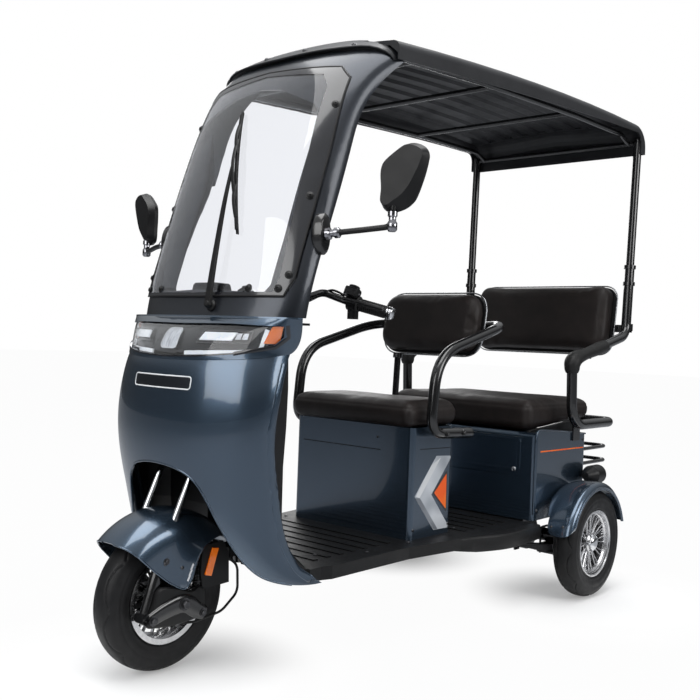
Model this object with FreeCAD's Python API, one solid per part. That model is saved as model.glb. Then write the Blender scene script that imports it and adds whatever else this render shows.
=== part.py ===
import FreeCAD, Part
import math
import os

from FreeCAD import Vector as V

# Electric passenger tricycle with a canopy, in millimetres.
# +X is the vehicle's left, -Y is forward, +Z is up. While it is drawn, Y is measured
# from the rear axle; the export moves everything to the middle of the bounding box.

# wheels and axles
tyre_radius = 190.0
tyre_width = 87.0
tyre_wall = 14.0
rim_radius = 118.0
rim_lip_width = 70.0
rim_wall = 7.0
rim_seat_gap = 0.3
spoke_count = 12
spoke_thickness = 8.0
hub_radius = 34.0
wheelbase = 1540.0
wheel_clearance = 51.1
axle_radius = 8.0
bearing_clearance = 0.05

# steering and front fork; Y values of the front end are measured from the front axle
steering_rake = 24.0
fork_axis_y = -11.0
fork_axis_z = 318.0
fork_leg_x = 64.0
fork_leg_forward = 34.0
fork_leg_radius = 8.0
fork_slider_radius = 16.0
fork_boss_half = 17.5
fork_bridge_z = 560.0
steerer_radius = 14.0
steerer_top_z = 960.0
head_tube_radius = 23.0
head_tube_gap = 0.05
handlebar_radius = 11.0
handlebar_y = 390.0
handlebar_z = 985.0
grip_radius = 17.0
fender_side = 91.0
fender_radius = 234.0
link_pivot_y = -96.0
link_pivot_z = 166.0
link_end_y = 62.0
link_end_z = 156.0
damper_top_y = 96.0
damper_top_z = 352.0
cable_radius = 3.5

# body shells
shell_wall = 5.0
frame_power = 2.4
pillar_front_x = 250.0
pillar_rear_x = 212.0
fairing_power = 2.1
lamp_depth = 21.0
glass_wall = 4.0
glass_gap = 0.4
tunnel_half = 52.0
shield_corner = 46.0
mirror_right_drop = 45.0

# canopy
roof_wall = 5.0
roof_front_behind = 472.0
roof_rear_y = 465.0
roof_front_half = 356.0
roof_overhang = 27.0
roof_front_bottom = 1654.0
roof_rear_bottom = 1734.0
roof_edge_z = 1773.0
roof_front_drop = 66.0
roof_rear_drop = 9.0
roof_crown_rise = 24.0
roof_tail_z = 1656.0
roof_roll = 62.0
roof_band = 35.0
roof_band_radius = 36.0
rib_depth = 9.0
rib_count = 9
post_radius = 16.0
post_outset = 22.0
post_top_lean_x = 5.0
post_top_y = 443.0
post_foot_y = 425.0
post_foot_z = 1160.0
post_top_z = 1712.0
roof_cross_z = 1700.0
hoop_radius = 18.5
collar_radius = 23.0
arm_pad_radius = 27.0
arm_pad_rear_radius = 22.0
arm_pad_gap = 0.3

# rear guards
rear_fender_radius = 218.0
rear_fender_reach = 47.4
rear_fender_wall = 4.0

# floor and frame
floor_top_z = 271.0
floor_thickness = 36.0
floor_front_half = 300.0
frame_tube = 40.0
frame_tube_height = 30.0
frame_half = 195.0
frame_high_z = 298.0
floor_toe_half = 288.5
strip_height = 3.0
axle_tube_radius = 24.0
spindle_radius = 12.0
spring_inset = 45.0
spring_width = 44.0
spring_half_length = 290.0
spring_eye_z = 200.0
tow_hole_radius = 5.5
tow_spacing_x = 90.0
tow_spacing_z = 40.0
tow_centre_z = 296.0
tow_plate_half = 70.0
frame_front_behind = 274.0
down_tube_radius = 19.0
floor_sheet = 6.0
frame_rear_y = 340.0

# seats
front_box_half = 247.0
front_box_front_y = -792.0
front_box_rear_y = -573.0
front_box_top_z = 616.0
front_cushion_half = 266.0
front_cushion_front_y = -830.0
front_cushion_rear_y = -546.0
front_cushion_thickness = 86.0
rear_box_half = 350.0
rear_box_front_y = -222.0
rear_box_rear_y = 152.0
rear_box_top_z = 580.0
rear_side_front_z = 592.0
rear_side_rear_z = 563.0
rear_side_round = 30.0
rear_box_floor_z = 328.4
rear_box_skirt_z = 276.0
flap_inset = 50.0
flap_bottom_z = 426.0
flap_top_z = 562.0
flap_pin_radius = 2.5
flap_pin_reach = 6.0
rear_cushion_inset = 30.0
rear_cushion_front_y = -215.0
rear_cushion_rear_y = 280.0
rear_cushion_thickness = 118.0
rear_cushion_edge = 34.0
rear_cushion_rise = 38.0
rear_cushion_rear_thickness = 76.0
seat_gap = 0.4
front_backrest_lean = 10.0
front_backrest_y = -404.0
front_backrest_z = 840.0
backrest_post_x = -136.0
rear_backrest_lean = 9.0
rear_backrest_y = 382.0
rear_backrest_z = 860.0
rear_backrest_inset = 32.0
rear_backrest_half_depth = 42.0
box_wall = 6.0
arm_radius = 17.0
rack_radius = 7.0
rack_rear_y = 390.0
rack_inset = 28.0
tail_lamp_radius = 35.0
tail_lamp_offset = 42.0
tail_lamp_z = 412.0

# places that follow from the sizes above
axle_height = tyre_radius
half_track = rear_box_half + wheel_clearance + tyre_width / 2
front_axle_y = -wheelbase
roof_front_y = front_axle_y + roof_front_behind
frame_front_y = front_axle_y + frame_front_behind
post_x = rear_box_half + post_outset
roof_rear_half = post_x + roof_overhang
rear_fender_outer_x = half_track + rear_fender_reach
spring_x = rear_box_half - spring_inset
flap_half = rear_box_half - flap_inset
rear_cushion_half = rear_box_half - rear_cushion_inset
rear_backrest_half = rear_box_half - rear_backrest_inset
rack_half = rear_box_half - rack_inset


def box(x0, x1, y0, y1, z0, z1):
    """Block between two opposite corners."""
    return Part.makeBox(x1 - x0, y1 - y0, z1 - z0, V(x0, y0, z0))


def cylinder(radius, start, end):
    """Round bar from one point to another."""
    return Part.makeCylinder(radius, (end - start).Length, start, end - start)


def mirrored(shape):
    """The same shape on the other side of the vehicle."""
    return shape.mirror(V(0, 0, 0), V(1, 0, 0))


def pair(shape):
    """A left-hand shape and its right-hand twin as one compound."""
    return Part.makeCompound([shape, mirrored(shape)])


def fused(shapes):
    """One solid out of several that touch."""
    result = shapes[0]
    if len(shapes) > 1:
        result = shapes[0].multiFuse(shapes[1:])
    return result.removeSplitter()


def tube(points, radius, bends=40.0):
    """Round bar of straight runs joined by tangent arcs; one radius or one per corner."""
    if not isinstance(bends, (list, tuple)):
        bends = [bends] * (len(points) - 2)
    pieces = []
    start = points[0]
    for index, bend in enumerate(bends):
        before, corner, after = points[index], points[index + 1], points[index + 2]
        to_before = (before - corner).normalize()
        to_after = (after - corner).normalize()
        half = to_before.getAngle(to_after) / 2
        reach = bend / math.tan(half)
        arc_start = corner + to_before * reach
        arc_end = corner + to_after * reach
        centre = corner + (to_before + to_after).normalize() * (bend / math.sin(half))
        turn = math.degrees(math.pi - 2 * half)
        normal = (to_after).cross(to_before)
        disc = Part.Face(Part.Wire(Part.makeCircle(radius, arc_start, to_before)))
        pieces.append(cylinder(radius, start, arc_start))
        pieces.append(disc.revolve(centre, normal * -1, -turn))
        start = arc_end
    pieces.append(cylinder(radius, start, points[-1]))
    return fused(pieces)


def rounded_box(x0, x1, y0, y1, z0, z1, radius):
    """Block with every edge rounded."""
    block = box(x0, x1, y0, y1, z0, z1)
    return block.makeFillet(radius, block.Edges)


def revolve_x(profile, centre_x, centre_y, centre_z):
    """Closed profile of (along axis, radius) points turned about a wheel's axle."""
    points = [V(centre_x + along, centre_y, centre_z + radius) for along, radius in profile]
    face = Part.Face(Part.makePolygon(points + [points[0]]))
    return face.revolve(V(centre_x, centre_y, centre_z), V(1, 0, 0), 360)


def hoop_points(section, inset, power, steps=12):
    """Points of one curved section, from the left end round the front to the right end.

    A section is (front y, front z, end y, end z, half width). The curve is a superellipse
    in the plane through its front point and its two ends, set in by the given amount.
    """
    front_y, front_z, end_y, end_z, half = section
    depth = math.hypot(end_y - front_y, end_z - front_z)
    along_y = (front_y - end_y) / depth
    along_z = (front_z - end_z) / depth
    curve = []
    for step in range(steps + 1):
        angle = math.radians(-90 + 180 * step / steps)
        side = math.copysign(abs(math.sin(angle)) ** (2 / power), math.sin(angle))
        reach = max(math.cos(angle), 0) ** (2 / power)
        x = (half - inset) * side
        forward = (depth - inset) * reach
        curve.append(V(-x, end_y + along_y * forward, end_z + along_z * forward))
    return curve


def spline(points):
    """Smooth open curve through the points."""
    curve = Part.BSplineCurve()
    curve.interpolate(points)
    return curve.toShape()


def closed_spline(points):
    """Smooth closed outline through the points."""
    curve = Part.BSplineCurve()
    curve.interpolate(Points=points, PeriodicFlag=True)
    return Part.Wire([curve.toShape()])


def curved_face(curve, corners):
    """Face between a smooth curve through some points and straight lines round the corners."""
    ring = [curve[-1]] + corners + [curve[0]]
    lines = [Part.LineSegment(a, b).toShape() for a, b in zip(ring, ring[1:])]
    return Part.Face(Part.Wire([spline(curve)] + lines))


def domed_guard(profile, wall, centre):
    """Skin of one wall thickness whose smooth (along, radius) profile is turned about an axle."""
    inner = []
    for index, (along, radius) in enumerate(profile):
        before = profile[max(index - 1, 0)]
        after = profile[min(index + 1, len(profile) - 1)]
        run = math.hypot(after[0] - before[0], after[1] - before[1])
        inner.append((along + wall * (after[1] - before[1]) / run,
                      radius - wall * (after[0] - before[0]) / run))
    outer_curve = [centre + V(along, 0, radius) for along, radius in profile]
    inner_curve = [centre + V(along, 0, radius) for along, radius in reversed(inner)]
    face = Part.Face(Part.Wire([
        spline(outer_curve),
        Part.LineSegment(outer_curve[-1], inner_curve[0]).toShape(),
        spline(inner_curve),
        Part.LineSegment(inner_curve[-1], outer_curve[0]).toShape(),
    ]))
    return face.revolve(centre, V(1, 0, 0), 360)


def at_front(shape):
    """A piece drawn with Y measured from the front axle, moved to its place."""
    moved = shape.copy()
    moved.translate(V(0, front_axle_y, 0))
    return moved


def hoop_wire(section, outer_inset, wall, power):
    """Closed outline of one curved wall: outer curve, end, inner curve, end."""
    outer = hoop_points(section, outer_inset, power)
    inner = hoop_points(section, outer_inset + wall, power)
    inner.reverse()
    return Part.Wire([
        spline(outer),
        Part.LineSegment(outer[-1], inner[0]).toShape(),
        spline(inner),
        Part.LineSegment(inner[-1], outer[0]).toShape(),
    ])


def hoop_shell(sections, power, outer_inset=0.0, wall=shell_wall):
    """Curved wall lofted through a stack of sections."""
    wires = [hoop_wire(section, outer_inset, wall, power) for section in sections]
    return Part.makeLoft(wires, True, False)


def prism_y(outline, y0, y1):
    """Outline of (x, z) points drawn in the plane y0 and pulled to y1."""
    points = [V(x, y0, z) for x, z in outline]
    return Part.Face(Part.makePolygon(points + [points[0]])).extrude(V(0, y1 - y0, 0))


def prism_x(outline, x0, x1):
    """Outline of (y, z) points drawn in the plane x0 and pulled to x1."""
    points = [V(x0, y, z) for y, z in outline]
    return Part.Face(Part.makePolygon(points + [points[0]])).extrude(V(x1 - x0, 0, 0))


# steering geometry
rake = math.radians(steering_rake)
axis_up = V(0, math.sin(rake), math.cos(rake))


def on_axis(z):
    """Point of the steering axis at a height."""
    return V(0, fork_axis_y + (z - fork_axis_z) * math.tan(rake), z)


def on_leg(z, side=1.0):
    """Point of a fork leg's centre line at a height."""
    point = on_axis(z)
    return V(side * fork_leg_x, point.y - fork_leg_forward / math.cos(rake), z)


# wheels
def make_tyre(x, y):
    half = tyre_width / 2
    seat = rim_radius + rim_seat_gap
    shoulder = tyre_radius - 16
    bead = rim_lip_width / 2 - 6
    profile = [
        (-bead, seat), (-bead - 6, seat + 8), (-half, seat + 32), (-half + 2, shoulder - 8),
        (-half + 12, shoulder + 7), (-half + 26, tyre_radius - 1.5), (0, tyre_radius),
        (half - 26, tyre_radius - 1.5), (half - 12, shoulder + 7), (half - 2, shoulder - 8),
        (half, seat + 32), (bead + 6, seat + 8), (bead, seat),
        (bead, seat + tyre_wall), (half - tyre_wall, seat + 34),
        (half - tyre_wall - 2, tyre_radius - 30), (0, tyre_radius - tyre_wall - 4),
        (-half + tyre_wall + 2, tyre_radius - 30), (-half + tyre_wall, seat + 34),
        (-bead, seat + tyre_wall),
    ]
    return revolve_x(profile, x, y, axle_height)


def make_rim(x, y, outward, bore, hub_back=20.0):
    """Cast rim: barrel with lips, spoke pattern near the outer face and a bored hub."""
    lip = rim_lip_width / 2
    barrel = revolve_x([
        (-lip, rim_radius - 14), (-lip, rim_radius), (-lip + rim_wall, rim_radius),
        (-lip + rim_wall + 3, rim_radius - 6), (0, rim_radius - 10),
        (lip - rim_wall - 3, rim_radius - 6), (lip - rim_wall, rim_radius), (lip, rim_radius),
        (lip, rim_radius - 14), (lip - rim_wall - 6, rim_radius - 18),
        (0, rim_radius - 20), (-lip + rim_wall + 6, rim_radius - 18),
    ], x, y, axle_height)
    face_x = x + outward * (lip - 22)
    hub = cylinder(hub_radius, V(x - outward * hub_back, y, axle_height),
                   V(x + outward * (lip - 8), y, axle_height))
    spokes = []
    for index in range(spoke_count):
        angle = 360 * index / spoke_count
        spoke = box(-spoke_thickness / 2, spoke_thickness / 2, -5, 5, hub_radius - 6, rim_radius - 15)
        spoke.rotate(V(0, 0, 0), V(0, 0, 1), 90)
        spoke.rotate(V(0, 0, 0), V(1, 0, 0), angle)
        spoke.translate(V(face_x, y, axle_height))
        spokes.append(spoke)
    solid = fused([barrel, hub] + spokes)
    hole = cylinder(bore, V(x - 80, y, axle_height), V(x + 80, y, axle_height))
    return solid.cut(hole)


# front fork
def make_fork():
    """Two legs, their bridge and the steerer that turns in the head tube."""
    parts = []
    for side in (-1, 1):
        foot = V(side * fork_leg_x, link_pivot_y, link_pivot_z)
        parts.append(cylinder(fork_leg_radius, on_leg(330, side), on_leg(fork_bridge_z + 22, side)))
        parts.append(cylinder(fork_slider_radius, foot, on_leg(340, side)))
        boss = V(fork_boss_half, 0, 0)
        parts.append(cylinder(fork_slider_radius + 2, foot - boss, foot + boss))
        stay = V(side * fork_leg_x, on_leg(305).y, 305)
        parts.append(cylinder(9, stay, stay + V(side * 27, 0, 0)))
        head = V(side * fork_leg_x, damper_top_y - 15.3, damper_top_z)
        parts.append(cylinder(7, on_leg(damper_top_z - 30, side), head))
    bridge = box(-fork_leg_x - 22, fork_leg_x + 22, -24, 62, -13, 13)
    bridge.rotate(V(0, 0, 0), V(1, 0, 0), -steering_rake)
    bridge.translate(on_leg(fork_bridge_z, 0))
    parts.append(bridge)
    parts.append(cylinder(steerer_radius, on_axis(fork_bridge_z - 18), on_axis(steerer_top_z)))
    return fused(parts)


def make_fork_links():
    """Trailing links that carry the front axle, each with its damper."""
    parts = []
    inner = fork_leg_x + fork_boss_half + seat_gap
    for side in (-1, 1):
        low, high = sorted((side * inner, side * (inner + 10)))
        parts.append(prism_x([
            (link_pivot_y - 18, link_pivot_z + 4), (link_pivot_y + 2, link_pivot_z + 19),
            (-20, axle_height + 20), (22, axle_height + 18),
            (link_end_y + 12, link_end_z + 14), (link_end_y + 16, link_end_z - 8),
            (0, axle_height - 26), (link_pivot_y, link_pivot_z - 18),
        ], low, high))
        foot = V(side * fork_leg_x, link_end_y, link_end_z)
        head = V(side * fork_leg_x, damper_top_y, damper_top_z + 4)
        along = (head - foot).normalize()
        parts.append(cylinder(9, foot, head))
        parts.append(cylinder(15, foot + along * 24, foot + along * 140))
        parts.append(cylinder(8, foot, V(side * (inner + 8), foot.y, foot.z)))
    parts.append(cylinder(axle_radius, V(-inner - 20, 0, axle_height), V(inner + 20, 0, axle_height)))
    return fused(parts)


def make_front_brake():
    """Drum backing plate beside the front hub, with its torque boss."""
    plate = revolve_x([
        (10, axle_radius + seat_gap), (10, 56), (16, 62), (24, 62), (30, 50), (40, 40),
        (fork_leg_x - 19, 22), (fork_leg_x - 19, axle_radius + seat_gap),
    ], 0, 0, axle_height)
    return plate


def make_brake_cable():
    """Cable from the brake plate round behind the wheel and up to the splash guard's clip."""
    x = fork_leg_x + 4.0
    route = [V(42.2, 4, 152), V(x - 2, 10, 130), V(x, 62, 124), V(x, 156, 134), V(x, 212, 176),
             V(x, 208, 250), V(x + 7.6, 150, 292), V(x + 7.6, 112, 302)]
    return tube(route, cable_radius, [12, 30, 60, 36, 36, 30])


def make_splash_guards():
    """Side flaps behind the wheel that carry the reflectors."""
    outer = fork_leg_x + 24
    guard = prism_x([
        (66, 326), (135, 332), (157, 297), (161, 216), (70, 212), (62, 255),
    ], fork_leg_x + 15 + seat_gap, outer)
    return pair(guard)


def make_fork_reflectors():
    """Upright amber strips on the splash guards."""
    outer = fork_leg_x + 24 + seat_gap
    strip = prism_x([(97, 318), (117, 315), (95, 244), (74, 250)], outer, outer + 4)
    return pair(strip)


def make_handlebar():
    """Riser and bent bar."""
    centre = V(0, handlebar_y, handlebar_z)
    stem = cylinder(19, on_axis(handlebar_z - 64), on_axis(handlebar_z + 6))
    arm = box(-24, 24, -16, 100, -14, 14)
    arm.translate(V(0, on_axis(handlebar_z).y, handlebar_z - 12))
    left = tube([
        V(0, centre.y, centre.z), V(80, centre.y, centre.z), V(150, centre.y + 34, centre.z + 28),
        V(205, centre.y + 78, centre.z + 4), V(326, centre.y + 114, centre.z - 26),
    ], handlebar_radius, [30, 40, 40])
    bore = cylinder(steerer_radius + bearing_clearance, on_axis(handlebar_z - 80),
                    on_axis(steerer_top_z) + axis_up * seat_gap)
    return fused([stem, arm, left, mirrored(left)]).cut(bore)


def make_grips():
    """Rubber grips on the bar's ends."""
    start = V(238, handlebar_y + 88, handlebar_z - 4.2)
    end = V(326, handlebar_y + 114, handlebar_z - 26)
    direction = (end - start).normalize()
    grip = cylinder(grip_radius, start, end + direction * 12)
    hole = cylinder(handlebar_radius + seat_gap, start - direction * 40, end + direction * 4.5)
    return pair(grip.cut(hole))


def make_hand_controls():
    """Switch housings on the bar with the two brake levers."""
    bar_start = V(205, handlebar_y + 78, handlebar_z + 4)
    bar_end = V(326, handlebar_y + 114, handlebar_z - 26)
    direction = (bar_end - bar_start).normalize()
    first = bar_start + direction * 6
    last = bar_start + direction * 32
    housing = cylinder(23, first, last)
    switch = box(-12, 12, -16, 16, 14, 40)
    switch.rotate(V(0, 0, 0), V(0, 0, 1), 16)
    switch.translate(first + direction * 13)
    lower = box(-11, 11, -14, 14, -46, -12)
    lower.rotate(V(0, 0, 0), V(0, 0, 1), 16)
    lower.translate(first + direction * 13)
    body = fused([housing, switch, lower])
    body = body.cut(cylinder(handlebar_radius + seat_gap, bar_start - direction * 40, bar_end))
    pivot = first + V(4, -24, 4)
    lever = tube([pivot + V(0, 10, 0), pivot + V(6, -22, 4), pivot + V(60, -12, -6),
                  pivot + V(128, 14, -24)], 5.5, [12, 60])
    return pair(fused([body, lever]))


def make_front_fender():
    """Domed guard turned about the wheel's centre, with tongue-shaped sides."""
    outer = fender_side
    half = [(0, fender_radius), (44, fender_radius - 5), (70, fender_radius - 20), (85, fender_radius - 44),
            (outer, 150), (outer + 1.5, 90), (outer + 3, 30)]
    profile = [(-along, radius) for along, radius in reversed(half[1:])] + half
    skin = domed_guard(profile, 4.0, V(0, 0, axle_height))
    lower_edge = [(-186, 352), (-150, 344), (-100, 306), (-52, 264), (-20, 240), (-2, 232), (14, 236),
                  (32, 262), (48, 300), (70, 332), (120, 344), (168, 330), (220, 300)]
    curve = [V(-150, y, z) for y, z in lower_edge]
    side_view = curved_face(curve, [V(-150, 220, 470), V(-150, -186, 470)]).extrude(V(300, 0, 0))
    nose = [(-150, -52), (-96, -100), (-64, -144), (-30, -168), (0, -174), (30, -168), (64, -144),
            (96, -100), (150, -52)]
    plan = curved_face([V(x, y, 0) for x, y in nose], [V(150, 240, 0), V(-150, 240, 0)])
    skin = skin.common(side_view).common(plan.extrude(V(0, 0, 600)))
    for side in (-1, 1):
        skin = skin.cut(cylinder(fork_leg_radius + 2, on_leg(350, side), on_leg(620, side)))
    return skin


# front body
# Each section: front y, front z, end y, end z, half width.
fairing_sections = [
    (62, 232, 302, 232, 298),
    (32, 290, 210, 290, 294),
    (18, 350, 169, 350, 290),
    (-8, 450, 142, 450, 290),
    (-32, 550, 119, 550, 292),
    (-37, 650, 109, 650, 298),
    (-27, 750, 124, 750, 300),
    (-15, 812, 153, 838, 295),
]
lamp_sections = [
    (-15, 812.4, 153, 838.4, 299),
    (-10, 850, 170, 862, 308),
    (16, 895, 168, 897, 320),
    (64, 926, 155, 926, 333),
]
lamp_flange = [
    (64, 926, 155, 926, 333),
    (66, 930, 155, 930, 333),
]
frame_sections = [
    (76, 930.4, 194, 930.4, 307),
    (100, 1010, 208, 1015, 313),
    (138, 1180, 272, 1186, 308),
    (204, 1390, 346, 1396, 305),
    (290, 1575, 398, 1530, 312),
    (375, 1682, 455, 1606, 330),
    (478, 1742, 510, 1660, 350),
]


def make_fairing():
    """Leg shield and front apron in one skin, open over the front wheel."""
    skin = hoop_shell(fairing_sections, fairing_power)
    half = [(0, 542), (65, 536), (110, 521), (138, 496), (156, 460), (174, 410), (198, 356), (223, 305),
            (248, 266), (280, 241), (312, 226)]
    arch = [V(-x, -360, z) for x, z in reversed(half[1:])] + [V(x, -360, z) for x, z in half]
    opening = curved_face(arch, [V(312, -360, 100), V(-312, -360, 100)])
    return skin.cut(opening.extrude(V(0, 664, 0)))


def both_sides(outline):
    """Half outline of (x, z) points closed by its mirror image."""
    return outline + [(-x, z) for x, z in reversed(outline) if x > 0]


def make_lamp_bezel():
    """Lamp surround with a top flange, cut for the lens."""
    skin = hoop_shell(lamp_sections, fairing_power)
    flange = hoop_shell(lamp_flange, fairing_power, 0.0, 34.0)
    window = [(0, 822), (120, 827), (220, 837), (286, 856), (303, 880), (307, 906), (180, 910),
              (0, 908)]
    return fused([skin, flange]).cut(prism_y(both_sides(window), -160, 140))


def make_lamp_core():
    """Dark lamp interior behind the lens."""
    skin = hoop_shell(lamp_sections, fairing_power, lamp_depth, shell_wall)
    window = [(0, 828), (284, 848), (300, 872), (300, 905), (0, 905)]
    return skin.common(prism_y(both_sides(window), -160, 148))


def make_lamp_lens():
    """Clear cover over the headlamps."""
    skin = hoop_shell(lamp_sections, fairing_power, shell_wall + glass_gap, glass_wall)
    window = [(0, 818), (220, 831), (292, 850), (310, 880), (314, 912), (0, 914)]
    return skin.common(prism_y(both_sides(window), -160, 148))


def make_turn_signals():
    """Amber indicators at the ends of the lamp unit."""
    outer = shell_wall + glass_gap + glass_wall + seat_gap
    skin = hoop_shell(lamp_sections, fairing_power, outer, lamp_depth - outer - seat_gap)
    return skin.common(pair(prism_y([(252, 862), (290, 868), (294, 898), (262, 898)], -20, 160)))


def leg_shield_wire(z, half, front_y, rear_y, wall):
    """Outline of the inner panel at one height: side walls, slanted corners and the back."""
    corner = min(shield_corner, rear_y - front_y - 5)
    outer = [V(half, front_y, z), V(half, rear_y - corner, z), V(half - corner - 8, rear_y, z)]
    inner = [V(half - corner - 10, rear_y - wall, z), V(half - wall, rear_y - corner - 2, z),
             V(half - wall, front_y, z)]
    right = outer + inner
    left = [V(-p.x, p.y, p.z) for p in right]
    points = right[:3] + left[2::-1] + left[:2:-1] + right[3:]
    return Part.makePolygon(points + [points[0]])


def make_leg_shield():
    """Inner panel behind the apron with a tunnel over the down tube and steering head."""
    levels = [
        (271.4, 284, 250, 276), (330, 281, 174, 222), (400, 280, 144, 206),
        (550, 282, 110, 202), (650, 288, 100, 202), (750, 290, 112, 202),
        (836, 286, 146, 202), (862, 298, 156, 203), (912, 310, 160, 208),
    ]
    panel = Part.makeLoft([leg_shield_wire(*level, shell_wall) for level in levels], True, True)
    shelf = Part.Face(Part.makePolygon([
        V(-300, 190, 912), V(-285, 155, 912), V(-170, 100, 912), V(170, 100, 912),
        V(285, 155, 912), V(300, 190, 912), V(310, 206, 912), V(-310, 206, 912),
        V(-300, 190, 912)])).extrude(V(0, 0, 6))
    tunnel_side = [(194, 271.4), (304, 271.4), (296, 560), (252, 780), (198, 816)]
    inner_side = [(180, 266), (299, 266), (291, 560), (248, 776), (198, 810), (180, 820)]
    hollow = prism_x(inner_side, -tunnel_half + shell_wall, tunnel_half - shell_wall)
    tunnel = prism_x(tunnel_side, -tunnel_half, tunnel_half)
    slot = cylinder(steerer_radius + 9, on_axis(700), on_axis(880))
    return fused([panel, shelf, tunnel]).cut(hollow).cut(slot)


def make_wiper():
    """Wiper arm and blade standing off the glass."""
    pivot = V(42, 78, 958)
    arm = tube([pivot + V(0, 12, 0), pivot + V(0, -14, 0), V(36, 108, 1120), V(26, 160, 1330)],
               5, [9, 200])
    blade = tube([V(60, 114, 1140), V(24, 169, 1330), V(-14, 236, 1505)], 6, 900)
    return fused([arm, blade]).cut(cowl_envelope(seat_gap))


def make_mirror(drop):
    """Left mirror: clamp on the pillar, bent stalk and faceted head, lowered by the drop."""
    stalk = tube([V(322, 235, 1150), V(420, 262, 1158 - drop * 0.3), V(500, 288, 1166 - drop * 0.7),
                  V(502, 290, 1228 - drop)], 7.5, [300, 22])
    clamp = cylinder(22, V(300, 232, 1149), V(326, 236, 1150)).cut(cowl_envelope(seat_gap))
    face = [(2, 76), (38, 71), (51, 58), (50, 44), (36, 10), (8, -36), (-8, -50), (-24, -60), (-42, -69),
            (-52, -66), (-56, -34), (-58, -3), (-54, 32), (-32, 54)]
    rim = [(6, 84), (44, 78), (60, 62), (60, 44), (50, 2), (32, -48), (18, -68), (-6, -82), (-44, -84),
           (-58, -72), (-61, -36), (-63, -3), (-59, 36), (-34, 60)]
    sections = [closed_spline([V(x, 0, z) for x, z in face]), closed_spline([V(x, 22, z) for x, z in rim]),
                closed_spline([V(x * 0.97, 32, z * 0.97) for x, z in rim])]
    head = Part.makeLoft(sections, True, True)
    head.rotate(V(0, 0, 0), V(0, 0, 1), 14)
    head.translate(V(530, 282, 1288 - drop))
    return fused([stalk, clamp, head])


def filled_wire(section, power, outset=0.0):
    """Outline of a section filled across its open side."""
    curve = hoop_points(section, -outset, power)
    return Part.Wire([spline(curve), Part.LineSegment(curve[-1], curve[0]).toShape()])


def cavity_wire(section, wall, power):
    """Inside of the hoop between its two box-section pillars."""
    front_y, front_z, end_y, end_z, half = section
    curve = [p for p in hoop_points(section, wall, power, 24) if abs(p.x) < pillar_front_x]
    depth = math.hypot(end_y - front_y, end_z - front_z)
    back_y = end_y + (end_y - front_y) / depth * 20
    back_z = end_z + (end_z - front_z) / depth * 20
    left = V(pillar_rear_x, back_y, back_z)
    right = V(-pillar_rear_x, back_y, back_z)
    start = V(pillar_front_x, curve[0].y, curve[0].z)
    end = V(-pillar_front_x, curve[-1].y, curve[-1].z)
    return Part.Wire([
        Part.LineSegment(left, start).toShape(),
        spline([start] + curve[1:-1] + [end]),
        Part.LineSegment(end, right).toShape(),
        Part.LineSegment(right, left).toShape(),
    ])


def cowl_envelope(outset):
    """Solid filled cowl grown by a clearance, to scribe what is fixed on it."""
    return Part.makeLoft([filled_wire(s, frame_power, outset) for s in frame_sections], True, False)


def make_windshield_frame():
    """Cowl, box-section pillars and header in one hoop, cut for the view through the glass."""
    solid = cowl_envelope(0.0)
    cavity = Part.makeLoft([cavity_wire(s, 8.0, frame_power) for s in frame_sections], True, False)
    window = [(0, 1578), (90, 1565), (168, 1532), (222, 1508), (240, 1484), (247, 1376),
              (246, 1130), (240, 1012), (226, 992), (0, 1000)]
    return solid.cut(cavity).cut(prism_y(both_sides(window), -160, 325))


def make_windshield():
    """Curved clear pane on the front of the frame."""
    skin = hoop_shell(frame_sections[:-1], frame_power, -glass_gap - glass_wall, glass_wall)
    pane = [(0, 1640), (250, 1625), (284, 1590), (292, 1380), (296, 1030), (280, 982), (0, 980)]
    return skin.common(prism_y(both_sides(pane), -160, 540))


# canopy
def roof_section(y):
    """Y, half width, skirt bottom, edge height and crown height of the canopy at one place."""
    along = (y - roof_front_y) / (roof_rear_y - roof_front_y)
    half = roof_front_half + (roof_rear_half - roof_front_half) * along
    bottom = roof_front_bottom + (roof_rear_bottom - roof_front_bottom) * (1 - (1 - along) ** 1.5)
    edge = roof_edge_z - roof_front_drop * (1 - along) ** 2.2 - roof_rear_drop * along ** 6
    into_roll = max(y - roof_rear_y + roof_roll, 0)
    edge -= roof_roll - math.sqrt(roof_roll ** 2 - into_roll ** 2)
    into_band = (y - roof_rear_y + roof_band) / roof_band_radius + 1
    if into_band >= 1:
        bottom = roof_tail_z
    elif into_band > 0:
        bottom -= roof_band_radius * (1 - math.sqrt(1 - into_band ** 2))
    crown = edge + roof_crown_rise + 8 * math.sin(math.pi * along)
    return y, half, bottom, edge, crown


roof_band_start = roof_rear_y - roof_band - roof_band_radius
roof_stations = [roof_front_y + (roof_band_start - roof_front_y) * step / 8 for step in range(9)]
roll_stations = [roof_rear_y - back for back in (57, 47, 39, 35.2, 34.6, 25, 15, 7, 3, 1, 0)]


def roof_height(section, x):
    """Height of the canopy's skin above a point across its width."""
    y, half, bottom, edge, crown = section
    return crown - (crown - edge) * (x / half) ** 2


def roof_outer_wire(section):
    y, half, bottom, edge, crown = section
    corner = 26.0
    inner_half = half - corner
    points = [V(inner_half * (-1 + step / 4), y, roof_height(section, inner_half * (-1 + step / 4)))
              for step in range(9)]
    left_side = V(-half, y, bottom)
    left_top = V(-half, y, points[0].z - corner)
    right_side = V(half, y, bottom)
    right_top = V(half, y, points[-1].z - corner)
    reach = corner * math.sqrt(0.5)
    left_middle = V(-half + corner - reach, y, left_top.z + reach)
    right_middle = V(half - corner + reach, y, right_top.z + reach)
    return Part.Wire([
        Part.LineSegment(left_side, left_top).toShape(),
        Part.Arc(left_top, left_middle, points[0]).toShape(),
        spline(points),
        Part.Arc(points[-1], right_middle, right_top).toShape(),
        Part.LineSegment(right_top, right_side).toShape(),
        Part.LineSegment(right_side, left_side).toShape(),
    ])


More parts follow.
